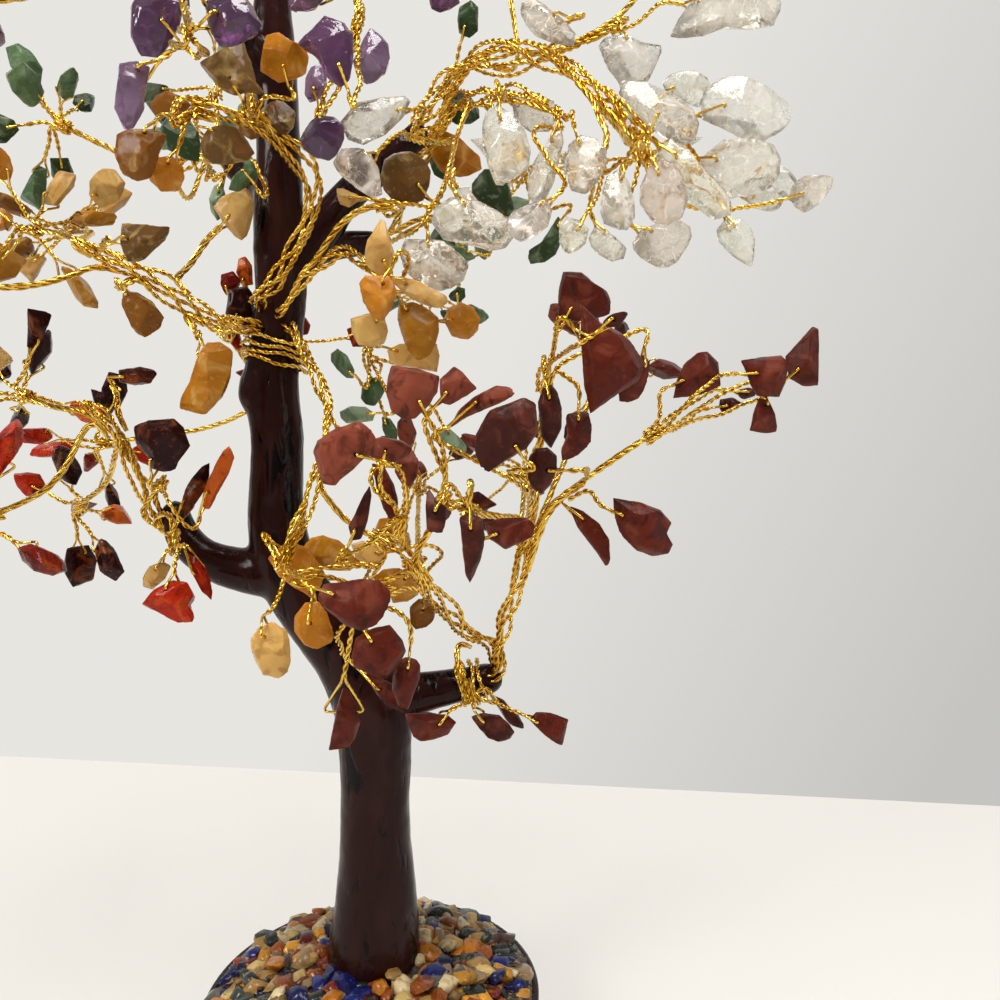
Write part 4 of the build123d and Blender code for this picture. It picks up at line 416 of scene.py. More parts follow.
@dataclass(frozen=True)
class ResinBed:
    """Clear resin over fine dark and pale grains; the near-black grains are partly painted shade between the
    pebbles.
    """

    name: str = "clear_resin"

    def material(self) -> bpy.types.Material:
        """The bed's material."""
        paint = Paint(self.name)
        grain = paint.cells(1.0 * MM, "Color")
        value = paint.node("ShaderNodeSeparateColor", None, {0: grain}, 0)
        # The near-black stops are partly dark grains and partly painted shade between the pebbles
        colour = paint.ramp(value, [
            (0.0, (0.01, 0.006, 0.005)), (0.5, (0.03, 0.014, 0.008)), (0.7, (0.12, 0.05, 0.014)),
            (0.8, (0.26, 0.16, 0.06)), (0.9, (0.01, 0.016, 0.05)), (1.0, (0.34, 0.25, 0.12))])
        height = paint.cells(1.0 * MM) * -1.0 + paint.cloud(3 * MM, 2)
        return paint.finish(Base_Color=colour, Roughness=0.35, Specular_IOR_Level=0.1, Coat_Weight=0.4,
                            Coat_Roughness=0.05, Normal=paint.bump(height, 0.35 * MM, 0.7))


class Shade(Enum):
    """The tints of the chips."""

    BRICK = (0.105, 0.0155, 0.0075)
    BRICK_DARK = (0.052, 0.01, 0.0065)
    BRICK_PINK = (0.23, 0.05, 0.026)
    ICE = (0.985, 0.935, 0.83)
    ICE_PINK = (0.96, 0.86, 0.76)
    ICE_GREY = (0.92, 0.87, 0.76)
    HONEY = (0.5, 0.19, 0.012)
    AMBER = (0.46, 0.19, 0.012)
    CREAM = (0.64, 0.39, 0.12)
    BROWN = (0.22, 0.085, 0.012)
    UMBER = (0.1, 0.05, 0.018)
    SMOKE = (0.15, 0.078, 0.022)
    FLAME = (0.38, 0.016, 0.003)
    ORANGE = (0.6, 0.115, 0.012)
    PLUM = (0.018, 0.004, 0.004)
    EMBER = (0.2, 0.014, 0.007)
    LEAF = (0.1, 0.17, 0.075)
    MOSS = (0.035, 0.06, 0.022)
    PALE_LEAF = (0.28, 0.38, 0.24)
    VIOLET = (0.12, 0.035, 0.115)
    DEEP_VIOLET = (0.055, 0.012, 0.06)
    LILAC = (0.3, 0.18, 0.28)
    WINE = (0.1, 0.024, 0.05)


JASPER = OpaqueStone("red_jasper", (0.036, 0.01, 0.007), (0.27, 0.07, 0.038), 0.7, 0.22, 0.0, 0.45, 0.5)
QUARTZ = GlassyStone("clear_quartz", (0.9, 0.83, 0.74), (0.92, 0.85, 0.75), 0.86, 0.4)
CITRINE = OpaqueStone("yellow_aventurine", (0.22, 0.08, 0.01), (0.82, 0.56, 0.2), 0.4, 0.08, 0.5)
AMETHYST = GlassyStone("amethyst", (0.27, 0.14, 0.26), (0.035, 0.008, 0.045), 0.62, 0.8, 0.12)
CARNELIAN = OpaqueStone("carnelian", (0.03, 0.005, 0.004), (0.7, 0.16, 0.02), 0.6, 0.06, 0.35, 0.25)
AVENTURINE = OpaqueStone("green_aventurine", (0.03, 0.055, 0.02), (0.4, 0.5, 0.34), 0.5, 0.14, 0.25)


@dataclass(frozen=True)
class Kind:
    """One kind of chip: its finish, the tints of the chips nobody listed, and how sharply it is broken."""

    finish: Union[OpaqueStone, GlassyStone]
    shades: tuple[Shade, ...]
    slot: str
    cuts: int
    ripple: float
    spread: float = 1.0


KINDS = {
    "jasper": Kind(JASPER, (Shade.BRICK, Shade.BRICK, Shade.BRICK_DARK, Shade.BRICK_PINK),
                   "red_jasper", 8, 0.06),
    "quartz": Kind(QUARTZ, (Shade.ICE, Shade.ICE, Shade.ICE_GREY, Shade.ICE_PINK),
                   "clear_quartz", 12, 0.05, 1.1),
    "citrine": Kind(CITRINE, (Shade.HONEY, Shade.CREAM, Shade.AMBER, Shade.BROWN),
                    "yellow_aventurine", 6, 0.09),
    "amethyst": Kind(AMETHYST, (Shade.VIOLET, Shade.DEEP_VIOLET, Shade.LILAC), "amethyst", 8, 0.07),
    "carnelian": Kind(CARNELIAN, (Shade.FLAME, Shade.ORANGE, Shade.PLUM, Shade.EMBER), "carnelian", 7, 0.07),
    "aventurine": Kind(AVENTURINE, (Shade.LEAF, Shade.MOSS, Shade.PALE_LEAF), "green_aventurine", 6, 0.07),
}

# The tints by the letters that SEEN uses
SHORT = {
    "b": Shade.BRICK, "d": Shade.BRICK_DARK, "p": Shade.BRICK_PINK,
    "i": Shade.ICE, "k": Shade.ICE_PINK, "g": Shade.ICE_GREY,
    "h": Shade.HONEY, "a": Shade.AMBER, "c": Shade.CREAM,
    "n": Shade.BROWN, "u": Shade.UMBER, "s": Shade.SMOKE,
    "f": Shade.FLAME, "o": Shade.ORANGE, "m": Shade.PLUM, "e": Shade.EMBER,
    "l": Shade.LEAF, "t": Shade.MOSS, "w": Shade.PALE_LEAF,
    "v": Shade.VIOLET, "x": Shade.DEEP_VIOLET, "y": Shade.LILAC, "z": Shade.WINE,
}

# The tints of the chips that the photograph shows, in each limb's own order, one group for each stem
SEEN = {
    "jasper_right": "bbbbdd" "bbd" "bbbddb" "dp" "dbdd",
    "jasper_front": "pppbd" "pp" "bbbd" "bddb",
    "citrine_low": "ha" "canhc",
    "citrine_high": "cchacch" "shc",
    "citrine_left": "nnhs" "suhn",
    "citrine_outer": "chns",
    "carnelian_left": "mmo" "ffc" "d",
    "carnelian_back": "oemf" "e",
    "quartz_right": "iiiik" "iiiikg" "iig",
    "quartz_mid": "iik" "ig" "gi" "gk",
    "quartz_top": "ii" "i",
    "aventurine_back": "llwlw" "ttlt" "tt",
    "aventurine_left": "twl",
    "amethyst_left": "xyx",
    "amethyst_top": "vyyx" "z" "v",
}


def unit(vector: np.ndarray) -> np.ndarray:
    """The vector at length 1."""
    return vector / max(float(np.linalg.norm(vector)), 1e-12)


def choose_nothing() -> None:
    """Deselects every object."""
    bpy.ops.object.select_all(action="DESELECT")


def choose(piece: bpy.types.Object) -> None:
    """Makes a piece the only chosen and active one."""
    choose_nothing()
    piece.select_set(True)
    bpy.context.view_layer.objects.active = piece


def apply(piece: bpy.types.Object, kind: str, **settings: Any) -> None:
    """Adds a modifier to a piece and applies it.

    Args:
        piece: The piece.
        kind: The modifier's type.
        settings: The modifier's settings.
    """
    choose(piece)
    modifier = piece.modifiers.new(kind.lower(), kind)
    for key, value in settings.items():
        setattr(modifier, key, value)
    bpy.ops.object.modifier_apply(modifier=modifier.name)


def piece_from(name: str, vertices: Sequence, faces: Sequence) -> bpy.types.Object:
    """A new mesh object.

    Args:
        name: The object's name.
        vertices: Its vertices in metres.
        faces: Its faces by vertex number.

    Returns:
        The object, linked to the scene.
    """
    mesh = bpy.data.meshes.new(name)
    mesh.from_pydata([tuple(v) for v in vertices], [], [tuple(f) for f in faces])
    mesh.update()
    piece = bpy.data.objects.new(name, mesh)
    bpy.context.scene.collection.objects.link(piece)
    return piece


def dress(piece: bpy.types.Object, material: bpy.types.Material) -> None:
    """Gives a piece one material."""
    piece.data.materials.clear()
    piece.data.materials.append(material)


def hand_over(piece: bpy.types.Object, material: bpy.types.Material, node: str,
              body: str = "tree") -> None:
    """Dresses a finished piece and lets it stand for its CAD node.

    Args:
        piece: The piece.
        material: Its material.
        node: The node that it replaces.
        body: The body that it rides on.
    """
    dress(piece, material)
    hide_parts(node)
    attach(piece, body)
    LOG.info("%s: %d faces", piece.name, len(piece.data.polygons))


def write_tints(piece: bpy.types.Object, colours: np.ndarray) -> None:
    """Writes the colour of each vertex as the piece's tint."""
    attribute = piece.data.attributes.new("tint", "FLOAT_COLOR", "POINT")
    attribute.data.foreach_set("color", colours.ravel())


def smooth(piece: bpy.types.Object, degrees: Optional[float] = None) -> None:
    """Shades a piece smooth, but for edges sharper than an angle.

    Args:
        piece: The piece.
        degrees: The angle. Without it, every edge is smooth.
    """
    choose(piece)
    if degrees is None:
        bpy.ops.object.shade_smooth()
    else:
        bpy.ops.object.shade_smooth_by_angle(angle=math.radians(degrees))


def ripple(piece: bpy.types.Object, name: str, size: float, strength: float) -> None:
    """Displaces a piece by a cloud texture and applies it.

    Args:
        piece: The piece.
        name: The texture's name.
        size: The size of the texture's clouds in metres.
        strength: How far the piece is moved in metres, half of it outward.
    """
    texture = bpy.data.textures.new(name, "CLOUDS")
    texture.noise_scale = size
    apply(piece, "DISPLACE", texture=texture, strength=strength, mid_level=0.5, texture_coords="LOCAL")


@dataclass
class Heap:
    """Meshes gathered into one: their points, their faces and, where they have one, their tints."""

    points: list[np.ndarray] = field(default_factory=list)
    faces: list[tuple[int, ...]] = field(default_factory=list)
    tints: list[np.ndarray] = field(default_factory=list)
    count: int = 0

    def add(self, points: np.ndarray, faces: Sequence, tint: Optional[np.ndarray] = None) -> None:
        """Adds one mesh.

        Args:
            points: Its points.
            faces: Its faces, by the numbers of its own points.
            tint: The colour of all its points.
        """
        self.points.append(points)
        self.faces += [tuple(self.count + k for k in face) for face in faces]
        self.count += len(points)
        if tint is not None:
            self.tints.append(np.tile(tint, (len(points), 1)))

    def piece(self, name: str) -> bpy.types.Object:
        """The gathered meshes as one object."""
        return piece_from(name, np.concatenate(self.points), self.faces)


@dataclass
class Island:
    """One solid of a CAD node, merged: its vertices and its triangles."""

    points: np.ndarray
    faces: np.ndarray

    @property
    def middle(self) -> np.ndarray:
        """The middle of its vertices."""
        return self.points.mean(0)


def islands_of(node: str) -> list[Island]:
    """The separate solids of a CAD node, read from a merged copy of its mesh.

    Args:
        node: The node's name.

    Returns:
        The solids in the node's own order.
    """
    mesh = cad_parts[node].data
    places, faces = np.zeros(len(mesh.vertices) * 3, np.float32), np.zeros(len(mesh.loops), int)
    mesh.vertices.foreach_get("co", places)
    mesh.loops.foreach_get("vertex_index", faces)
    places = (places + np.float32(0)).reshape(-1, 3)
    _, first, merged = np.unique(places.view("V12").ravel(), return_index=True, return_inverse=True)
    points, faces = places[first].astype(float), merged[faces].reshape(-1, 3)
    faces = faces[(faces != np.roll(faces, 1, axis=1)).all(1)]
    sides = np.sort(np.concatenate([faces[:, [0, 1]], faces[:, [1, 2]], faces[:, [2, 0]]]), axis=1)
    _, side = np.unique(sides[:, 0] * len(points) + sides[:, 1], return_inverse=True)
    side = side.reshape(3, -1)
    label = np.arange(len(faces))
    while True:
        lowest = np.full(side.max() + 1, len(faces))
        np.minimum.at(lowest, side.ravel(), np.tile(label, 3))
        fresh = lowest[side].min(0)
        fresh = fresh[fresh]
        if np.array_equal(fresh, label):
            break
        label = fresh
    order = np.argsort(label, kind="stable")
    groups = np.split(faces[order], np.flatnonzero(np.diff(label[order])) + 1)
    found = []
    for group in groups:
        mine, number = np.unique(group, return_inverse=True)
        found.append(Island(points[mine], number.reshape(-1, 3)))
    return found


@dataclass
class TubeLine:
    """The middle line of one CAD tube, and the tube's radius."""

    points: np.ndarray
    radius: float


def steps_from(edges: np.ndarray, count: int, start: Sequence[int]) -> np.ndarray:
    """How many edges each vertex is away from the nearest starting vertex.

    Args:
        edges: Pairs of vertex numbers.
        count: How many vertices there are.
        start: The starting vertices.

    Returns:
        The steps of each vertex.
    """
    depth = np.full(count, -1)
    depth[start] = 0
    level = 0
    while True:
        touched = edges[(depth[edges] == level).any(1)].ravel()
        fresh = np.unique(touched[depth[touched] < 0])
        if not len(fresh):
            return depth
        level += 1
        depth[fresh] = level


def end_rim(points: np.ndarray, faces: np.ndarray, edges: np.ndarray) -> np.ndarray:
    """The vertices of one end face's rim: the widest ring of edges where two faces meet about square.

    Args:
        points: The tube's vertices.
        faces: Its triangles.
        edges: The triangles' first, second and third edges, each with the lower vertex first.

    Returns:
        The rim's vertex numbers.
    """
    corners = points[faces]
    normals = np.cross(corners[:, 1] - corners[:, 0], corners[:, 2] - corners[:, 0])
    normals /= np.maximum(np.linalg.norm(normals, axis=1), 1e-18)[:, None]
    keys = edges[:, 0] * len(points) + edges[:, 1]
    order = np.argsort(keys, kind="stable")
    owner = np.tile(np.arange(len(faces)), 3)
    here, there = order[:-1], order[1:]
    sharp = (keys[here] == keys[there]) & ((normals[owner[here]] * normals[owner[there]]).sum(1) < 0.5)
    rims = edges[here[sharp]]
    best, widest, seen = rims[:1, 0], 0.0, set()
    for first in rims[:, 0]:
        if first not in seen:
            ring = np.where(steps_from(rims, len(points), [first]) >= 0)[0]
            seen.update(ring)
            wide = float(np.linalg.norm(np.ptp(points[ring], axis=0)))
            best, widest = (ring, wide) if wide > widest else (best, widest)
    return best


def tube_line(island: Island) -> TubeLine:
    """The middle line of a tube: the middles of its rings, ring by ring from one end face.

    Args:
        island: The tube's solid.

    Returns:
        Its line and radius.
    """
    points, faces = island.points, island.faces
    edges = np.concatenate([faces[:, [0, 1]], faces[:, [1, 2]], faces[:, [2, 0]]])
    end = end_rim(points, faces, np.sort(edges, axis=1))
    depth = steps_from(edges, len(points), end)
    middles = np.array([points[depth == k].mean(0) for k in range(depth.max() + 1)])
    return TubeLine(middles, float(np.linalg.norm(points[end] - middles[0], axis=1).mean()))


def resampled(points: np.ndarray, step: float) -> np.ndarray:
    """The line at even steps.

    Args:
        points: The line's points.
        step: The steps' length in metres.

    Returns:
        The points at the steps.
    """
    runs = np.linalg.norm(np.diff(points, axis=0), axis=1)
    far = np.concatenate([[0.0], np.cumsum(runs)])
    count = max(4, int(round(far[-1] / step)))
    where = np.linspace(0.0, far[-1], count + 1)
    return np.stack([np.interp(where, far, points[:, k]) for k in range(3)], axis=1)


def softened(points: np.ndarray, rounds: int) -> np.ndarray:
    """The line with its corners eased and its ends kept."""
    line = points.copy()
    for _ in range(rounds):
        line[1:-1] = (line[:-2] + 2 * line[1:-1] + line[2:]) / 4
    return line


def frames_along(line: np.ndarray) -> tuple[np.ndarray, np.ndarray]:
    """Two directions square to a line at each of its points, carried along it without twist.

    Args:
        line: The points.

    Returns:
        The first and the second direction at each point.
    """
    heads = np.gradient(line, axis=0)
    heads /= np.maximum(np.linalg.norm(heads, axis=1), 1e-12)[:, None]
    first = np.zeros_like(line)
    guess = ASKEW
    for k, head in enumerate(heads):
        guess = unit(guess - head * np.dot(guess, head))
        first[k] = guess
    return first, np.cross(heads, first)


def lengths_along(line: np.ndarray) -> np.ndarray:
    """How far along the line each point is."""
    return np.concatenate([[0.0], np.cumsum(np.linalg.norm(np.diff(line, axis=0), axis=1))])


def wound(line: np.ndarray, reach: Union[float, np.ndarray], lay: float, phase: float,
          at_end: bool = False) -> np.ndarray:
    """A line wound round another at a distance.

    Args:
        line: The middle line.
        reach: The distance from it, one number or one for each point.
        lay: The length of one turn in metres.
        phase: The angle in radians where the winding is counted from.
        at_end: Counts from the line's end and not its start.

    Returns:
        The wound line.
    """
    first, second = frames_along(line)
    far = lengths_along(line)
    angle = phase + 2 * math.pi * ((far - far[-1]) if at_end else far) / lay
    reach = np.broadcast_to(reach, len(line))[:, None]
    return line + (first * np.cos(angle)[:, None] + second * np.sin(angle)[:, None]) * reach


def phase_towards(line: np.ndarray, direction: np.ndarray) -> float:
    """The angle at a line's end at which a winding points in a direction."""
    first, second = frames_along(line)
    return math.atan2(float(np.dot(direction, second[-1])), float(np.dot(direction, first[-1])))


def strayed(line: np.ndarray, reach: float, seed: float) -> np.ndarray:
    """A line that strays a little, but not at its ends.

    Args:
        line: The points.
        reach: How far it strays in metres.
        seed: A number that sets the way it strays.

    Returns:
        The strayed line.
    """
    first, second = frames_along(line)
    far = lengths_along(line)
    strays = np.array([[noise.noise(Vector((seed + k, s / STRAY_WAVE, 0.5))) for s in far] for k in (0, 40)])
    hold = np.clip(np.minimum(far, far[-1] - far) / STRAY_HOLD, 0, 1)
    return line + (first * (strays[0] * hold)[:, None] + second * (strays[1] * hold)[:, None]) * reach * 2


@dataclass
class WireWork:
    """Round wires gathered into one piece."""

    name: str
    radius: float = 0.27 * MM
    wires: list[np.ndarray] = field(default_factory=list)

    def add(self, points: np.ndarray) -> None:
        """Adds one wire along points."""
        self.wires.append(points)

    def build(self) -> bpy.types.Object:
        """Makes the wires one mesh.

        Returns:
            The piece.
        """
        curve = bpy.data.curves.new(self.name, "CURVE")
        curve.dimensions, curve.bevel_depth, curve.bevel_resolution = "3D", self.radius, 1
        curve.use_fill_caps = True
        for points in self.wires:
            spline = curve.splines.new("POLY")
            spline.points.add(len(points) - 1)
            spline.points.foreach_set("co", np.column_stack([points, np.ones(len(points))]).ravel())
        piece = bpy.data.objects.new(self.name, curve)
        bpy.context.scene.collection.objects.link(piece)
        choose(piece)
        bpy.ops.object.convert(target="MESH")
        piece = bpy.context.view_layer.objects.active
        piece.name = self.name
        smooth(piece, 60)
        return piece


@dataclass
class Limb:
    """One limb of the crown: its rope and stems, and its twigs with their loops."""

    name: str
    strand: float = 0.27 * MM
    twist: float = 3.5 * MM
    lay: float = 38 * MM
    stem_lay: float = 9.5 * MM
    stem_wires: int = 4
    step: float = 0.42 * MM
    wander: float = 0.42 * MM
    looseness: float = 1.5 * MM
    pair_least: float = 0.39 * MM
    rope_per_pair: float = 0.26 * MM
    fewest_pairs: int = 3
    rope_ease: int = 30
    twig_ease: int = 16
    loop_step: float = 0.3 * MM
    loop_ease: int = 3
    rope_lays: tuple[float, float] = (0.92, 1.1)
    twig_twists: tuple[float, float] = (0.88, 1.2)
    rope_twist: float = 1.15
    rope_wander: float = 1.2
    rope_end: float = 0.45
    stem_reach: float = 1.42
    stem_end: float = 0.9
    usual_reach: float = 1.08
    uneven_by: float = 0.55
    uneven_over: float = 9 * MM
    drawn_over: float = 4 * MM
    trunk_middle: tuple[float, float] = (-22 * MM, 0.0)

    def __post_init__(self) -> None:
        """Reads the limb's twigs: their pairs are the thicker tubes, and their loops the thinner."""
        self.rnd = random.Random(self.name)
        lines = [tube_line(island) for island in islands_of(f"{self.name}_twigs")]
        self.loops = [line for line in lines if line.radius < self.pair_least]
        self.pairs = [line for line in lines if line.radius >= self.pair_least]

    def build(self, wire: bpy.types.Material) -> None:
        """Builds and dresses the limb's pieces.

        Args:
            wire: The wire's material.
        """
        made = {f"{self.name}_rope": self.make_rope(), f"{self.name}_twigs": self.make_twigs()}
        for node, piece in made.items():
            hand_over(piece, wire, node)

    def wandering(self, line: np.ndarray, reach: float) -> np.ndarray:
        """A line that strays a little at the limb's own chance."""
        return strayed(line, reach, self.rnd.uniform(0, 90))

    def drawn_in(self, line: np.ndarray, reach: float, least: float) -> np.ndarray:
        """A winding's distance along a line: uneven, and drawn in at the far end.

        Args:
            line: The middle line.
            reach: The usual distance.
            least: The distance at the end.

        Returns:
            The distance at each point.
        """
        far = lengths_along(line)
        seed = self.rnd.uniform(0, 90)
        swing = np.array([noise.noise(Vector((seed, s / self.uneven_over, 2.5))) for s in far])
        uneven = self.usual_reach + self.uneven_by * swing
        close = np.clip((far[-1] - far) / self.drawn_over, 0, 1)
        return least + (reach * uneven - least) * close

    def loosened(self, line: np.ndarray) -> np.ndarray:
        """How much farther out than the others one pair of a rope lies, along the rope."""
        share = lengths_along(line) / lengths_along(line)[-1]
        seed = self.rnd.uniform(0, 90)
        loose = np.array([max(0.0, 0.35 + 1.5 * noise.noise(Vector((seed, s * 3.2, 4.5)))) for s in share])
        return self.looseness * np.minimum(loose, 1.0) * np.sin(math.pi * share) ** 0.8

    def make_rope(self) -> bpy.types.Object:
        """The rope of loosely laid pairs, and the stems of a few wires twisted together.

        Returns:
            The piece.
        """
        work = WireWork(f"{self.name}_rope_strands", self.strand)
        tubes = [tube_line(island) for island in islands_of(f"{self.name}_rope")]
        for number, tube in enumerate(tubes):
            line = softened(resampled(tube.points, self.step), self.rope_ease)
            turn = self.rnd.uniform(0, 6)
            if number == 0:
                line = self.rooted(line)
                pairs = max(self.fewest_pairs, round(tube.radius / self.rope_per_pair))
                ring = 2 * self.strand / math.sin(math.pi / pairs)
                for k in range(pairs):
                    reach = self.drawn_in(line, ring, self.rope_end * ring) + self.loosened(line)
                    lay = self.lay * self.rnd.uniform(*self.rope_lays)
                    middle = wound(line, reach, lay, turn + 2 * math.pi * k / pairs)
                    middle = self.wandering(middle, self.rope_wander * self.wander)
                    self.twist_into(work, middle, self.rnd.uniform(0, 6))
            else:
                for k in range(self.stem_wires):
                    reach = self.drawn_in(line, self.stem_reach * self.strand, self.stem_end * self.strand)
                    angle = turn + 2 * math.pi * k / self.stem_wires
                    work.add(wound(line, reach, self.stem_lay, angle, True))
        return work.build()

    def rooted(self, line: np.ndarray) -> np.ndarray:
        """A rope's line with its root first, where it leaves the trunk."""
        near = [np.hypot(*(end[:2] - np.array(self.trunk_middle))) for end in (line[0], line[-1])]
        return line if near[0] < near[1] else line[::-1]

    def twist_into(self, work: WireWork, line: np.ndarray, phase: float) -> None:
        """Adds the two wires of a twisted pair.

        Args:
            work: Where the wires go.
            line: The pair's middle line.
            phase: Its angle at the end.
        """
        for side in (0.0, math.pi):
            work.add(wound(line, self.strand, self.twist * self.rope_twist, phase + side, True))

    def make_twigs(self) -> bpy.types.Object:
        """The twigs: each one wire that is doubled, twisted, and looped through its chip's hole.

        Returns:
            The piece.
        """
        work = WireWork(f"{self.name}_twig_strands", self.strand)
        all_feet = [(loop.points[0] + loop.points[-1]) / 2 for loop in self.loops]
        for pair in self.pairs:
            ends = np.array([pair.points[0], pair.points[-1]])
            nearest = int(np.argmin([min(np.linalg.norm(ends - feet, axis=1)) for feet in all_feet]))
            loop, feet = self.loops[nearest], all_feet[nearest]
            line = pair.points
            if np.linalg.norm(ends[0] - feet) < np.linalg.norm(ends[1] - feet):
                line = line[::-1]
            line = self.wandering(softened(resampled(line, self.step), self.twig_ease), self.wander)
            phase = phase_towards(line, loop.points[0] - feet)
            twist = self.twist * self.rnd.uniform(*self.twig_twists)
            out = wound(line, self.strand, twist, phase, True)
            back = wound(line, self.strand, twist, phase + math.pi, True)
            round_hole = softened(resampled(loop.points, self.loop_step), self.loop_ease)
            work.add(np.concatenate([out, round_hole[1:-1], back[::-1]]))
        return work.build()

    def holes(self) -> list[tuple[np.ndarray, np.ndarray]]:
        """The middle and the direction of each chip's hole, from the middle of its loop."""
        found = []
        for loop in self.loops:
            line = resampled(loop.points, 0.2 * MM)
            middle = len(line) // 2
            found.append((line[middle], unit(line[middle + 2] - line[middle - 2])))
        return found


@dataclass
class ChipSet:
    """The chips of one CAD node, broken into facets, eased and rippled."""

    node: str
    kind: Kind
    body: str
    holes: list[tuple[np.ndarray, np.ndarray]]
    seen: str = ""
    voxel: float = 0.2 * MM
    keep: float = 0.08
    bore_radius: float = 0.5 * MM
    grip_radius: float = 0.33 * MM
    fullness: float = 1.3
    smooth_below: float = 24.0
    facet_turn: float = 2.4
    facet_stray: tuple[float, float] = (-0.5, 0.5)
    facet_start: tuple[float, float] = (-0.35, 0.5)
    facet_fall: tuple[float, float] = (0.5, 1.25)
    lifts: tuple[float, float] = (0.86, 1.14)
    warmths: tuple[float, float] = (0.96, 1.04)
    tint_reach: float = 1 * MM
    ripples: tuple[tuple[str, float, float], ...] = (("lumps", 2.6 * MM, 1.0), ("pits", 0.9 * MM, 0.35))

    def build(self, material: bpy.types.Material) -> None:
        """Builds and dresses the chips.

        Args:
            material: The stone's material.
        """
        rnd = random.Random(self.node)
        solids = islands_of(self.node)
        heap = Heap()
        for solid in solids:
            heap.add(*self.broken(solid, rnd))
        piece = heap.piece(f"{self.node}_tumbled")
        self.tumble(piece)
        self.tint(piece, solids, rnd)
        smooth(piece, self.smooth_below)
        hand_over(piece, material, self.node, self.body)

    def axes_of(self, solid: Island, bore: np.ndarray) -> tuple[np.ndarray, np.ndarray, np.ndarray]:
        """A chip's long axis, broad axis and the axis through its thickness.

        Args:
            solid: The chip's solid.
            bore: The direction of its hole.

        Returns:
            The three axes.
        """
        spread = solid.points - solid.middle
        flat = spread - np.outer(spread @ bore, bore)
        long = unit(np.linalg.svd(flat, full_matrices=False)[2][0])
        third = np.cross(bore, long)
        if np.ptp(spread @ bore) > np.ptp(spread @ third):
            return long, bore, third
        return long, third, bore

    def fuller(self, solid: Island, thick: np.ndarray, hole: np.ndarray, bore: np.ndarray) -> np.ndarray:
        """The chip's points, fuller through its thickness and with the hole drawn in round the wire.

        Args:
            solid: The chip's solid.
            thick: The axis through its thickness.
            hole: The middle of its hole.
            bore: The hole's direction.

        Returns:
            The moved points.
        """
        spread = solid.points - hole
        aside = spread - np.outer(spread @ bore, bore)
        wall = np.linalg.norm(aside, axis=1) < self.bore_radius + 0.03 * MM
        points = solid.points + np.outer((solid.points - solid.middle) @ thick, thick) * (self.fullness - 1)
        points[~wall] += aside[~wall] * (self.kind.spread - 1)
        points[wall] -= aside[wall] * (1 - self.grip_radius / self.bore_radius)
        return points

    def broken(self, solid: Island, rnd: random.Random) -> tuple[np.ndarray, list[tuple[int, ...]]]:
        """One chip with broad tilted facets cut off both its faces.

        Args:
            solid: The chip's solid.
            rnd: The source of chance.

        Returns:
            Its points and faces.
        """
        away = [min(np.linalg.norm(solid.points - place, axis=1)) for place, _ in self.holes]
        hole, bore = self.holes[int(np.argmin(away))]
        long, broad, thick = self.axes_of(solid, bore)
        points = self.fuller(solid, thick, hole, bore)
        mesh = bmesh.new()
        corners = [mesh.verts.new(tuple(p)) for p in points]
        for face in solid.faces:
            mesh.faces.new([corners[k] for k in face])
        bmesh.ops.recalc_face_normals(mesh, faces=mesh.faces)
        bmesh.ops.dissolve_limit(mesh, angle_limit=math.radians(1), verts=mesh.verts, edges=mesh.edges)
        middle = (points.max(0) + points.min(0)) / 2
        half = float(np.ptp(points @ thick)) / 2
        first = rnd.uniform(0, 2 * math.pi)
        for number in range(self.kind.cuts):
            side = 1 if number % 2 else -1
            turn = first + self.facet_turn * number + rnd.uniform(*self.facet_stray)
            outward = long * math.cos(turn) + broad * math.sin(turn)
            wide = float(((points - middle) @ outward).max())
            inner = wide * rnd.uniform(*self.facet_start)
            fall = half * rnd.uniform(*self.facet_fall)
            normal = unit(outward * fall + thick * side * (wide - inner))
            mesh = self.cut(mesh, middle + outward * inner + thick * side * half, normal)
        bmesh.ops.triangulate(mesh, faces=mesh.faces)
        mesh.verts.index_update()
        points = np.array([tuple(v.co) for v in mesh.verts])
        sides = [tuple(v.index for v in face.verts) for face in mesh.faces]
        mesh.free()
        return points, sides

    def cut(self, mesh: bmesh.types.BMesh, place: np.ndarray, normal: np.ndarray) -> bmesh.types.BMesh:
        """A mesh with one facet cut off, or the mesh as it was if the cut doesn't close.

        Args:
            mesh: The closed mesh.
            place: A point of the facet.
            normal: The facet's outward normal.

        Returns:
            The mesh to go on with.
        """
        before = mesh.copy()
        everything = mesh.verts[:] + mesh.edges[:] + mesh.faces[:]
        cut = bmesh.ops.bisect_plane(mesh, geom=everything, clear_outer=True, plane_co=tuple(place),
                                     plane_no=tuple(normal))
        rim = [item for item in cut["geom_cut"] if isinstance(item, bmesh.types.BMEdge)]
        if rim:
            bmesh.ops.triangle_fill(mesh, edges=rim, use_beauty=True, normal=tuple(normal))
        if mesh.faces and all(len(edge.link_faces) == 2 for edge in mesh.edges):
            before.free()
            return mesh
        mesh.free()
        return before

    def tumble(self, piece: bpy.types.Object) -> None:
        """Eases the chips' edges and ripples their faces, as tumbling and breaking leave them.

        Args:
            piece: The chips' piece.
        """
        apply(piece, "REMESH", mode="VOXEL", voxel_size=self.voxel)
        apply(piece, "SMOOTH", factor=0.5, iterations=1)
        for name, size, share in self.ripples:
            ripple(piece, f"{self.node}_{name}", size, self.kind.ripple * share * 4 * MM)
        apply(piece, "DECIMATE", ratio=self.keep)

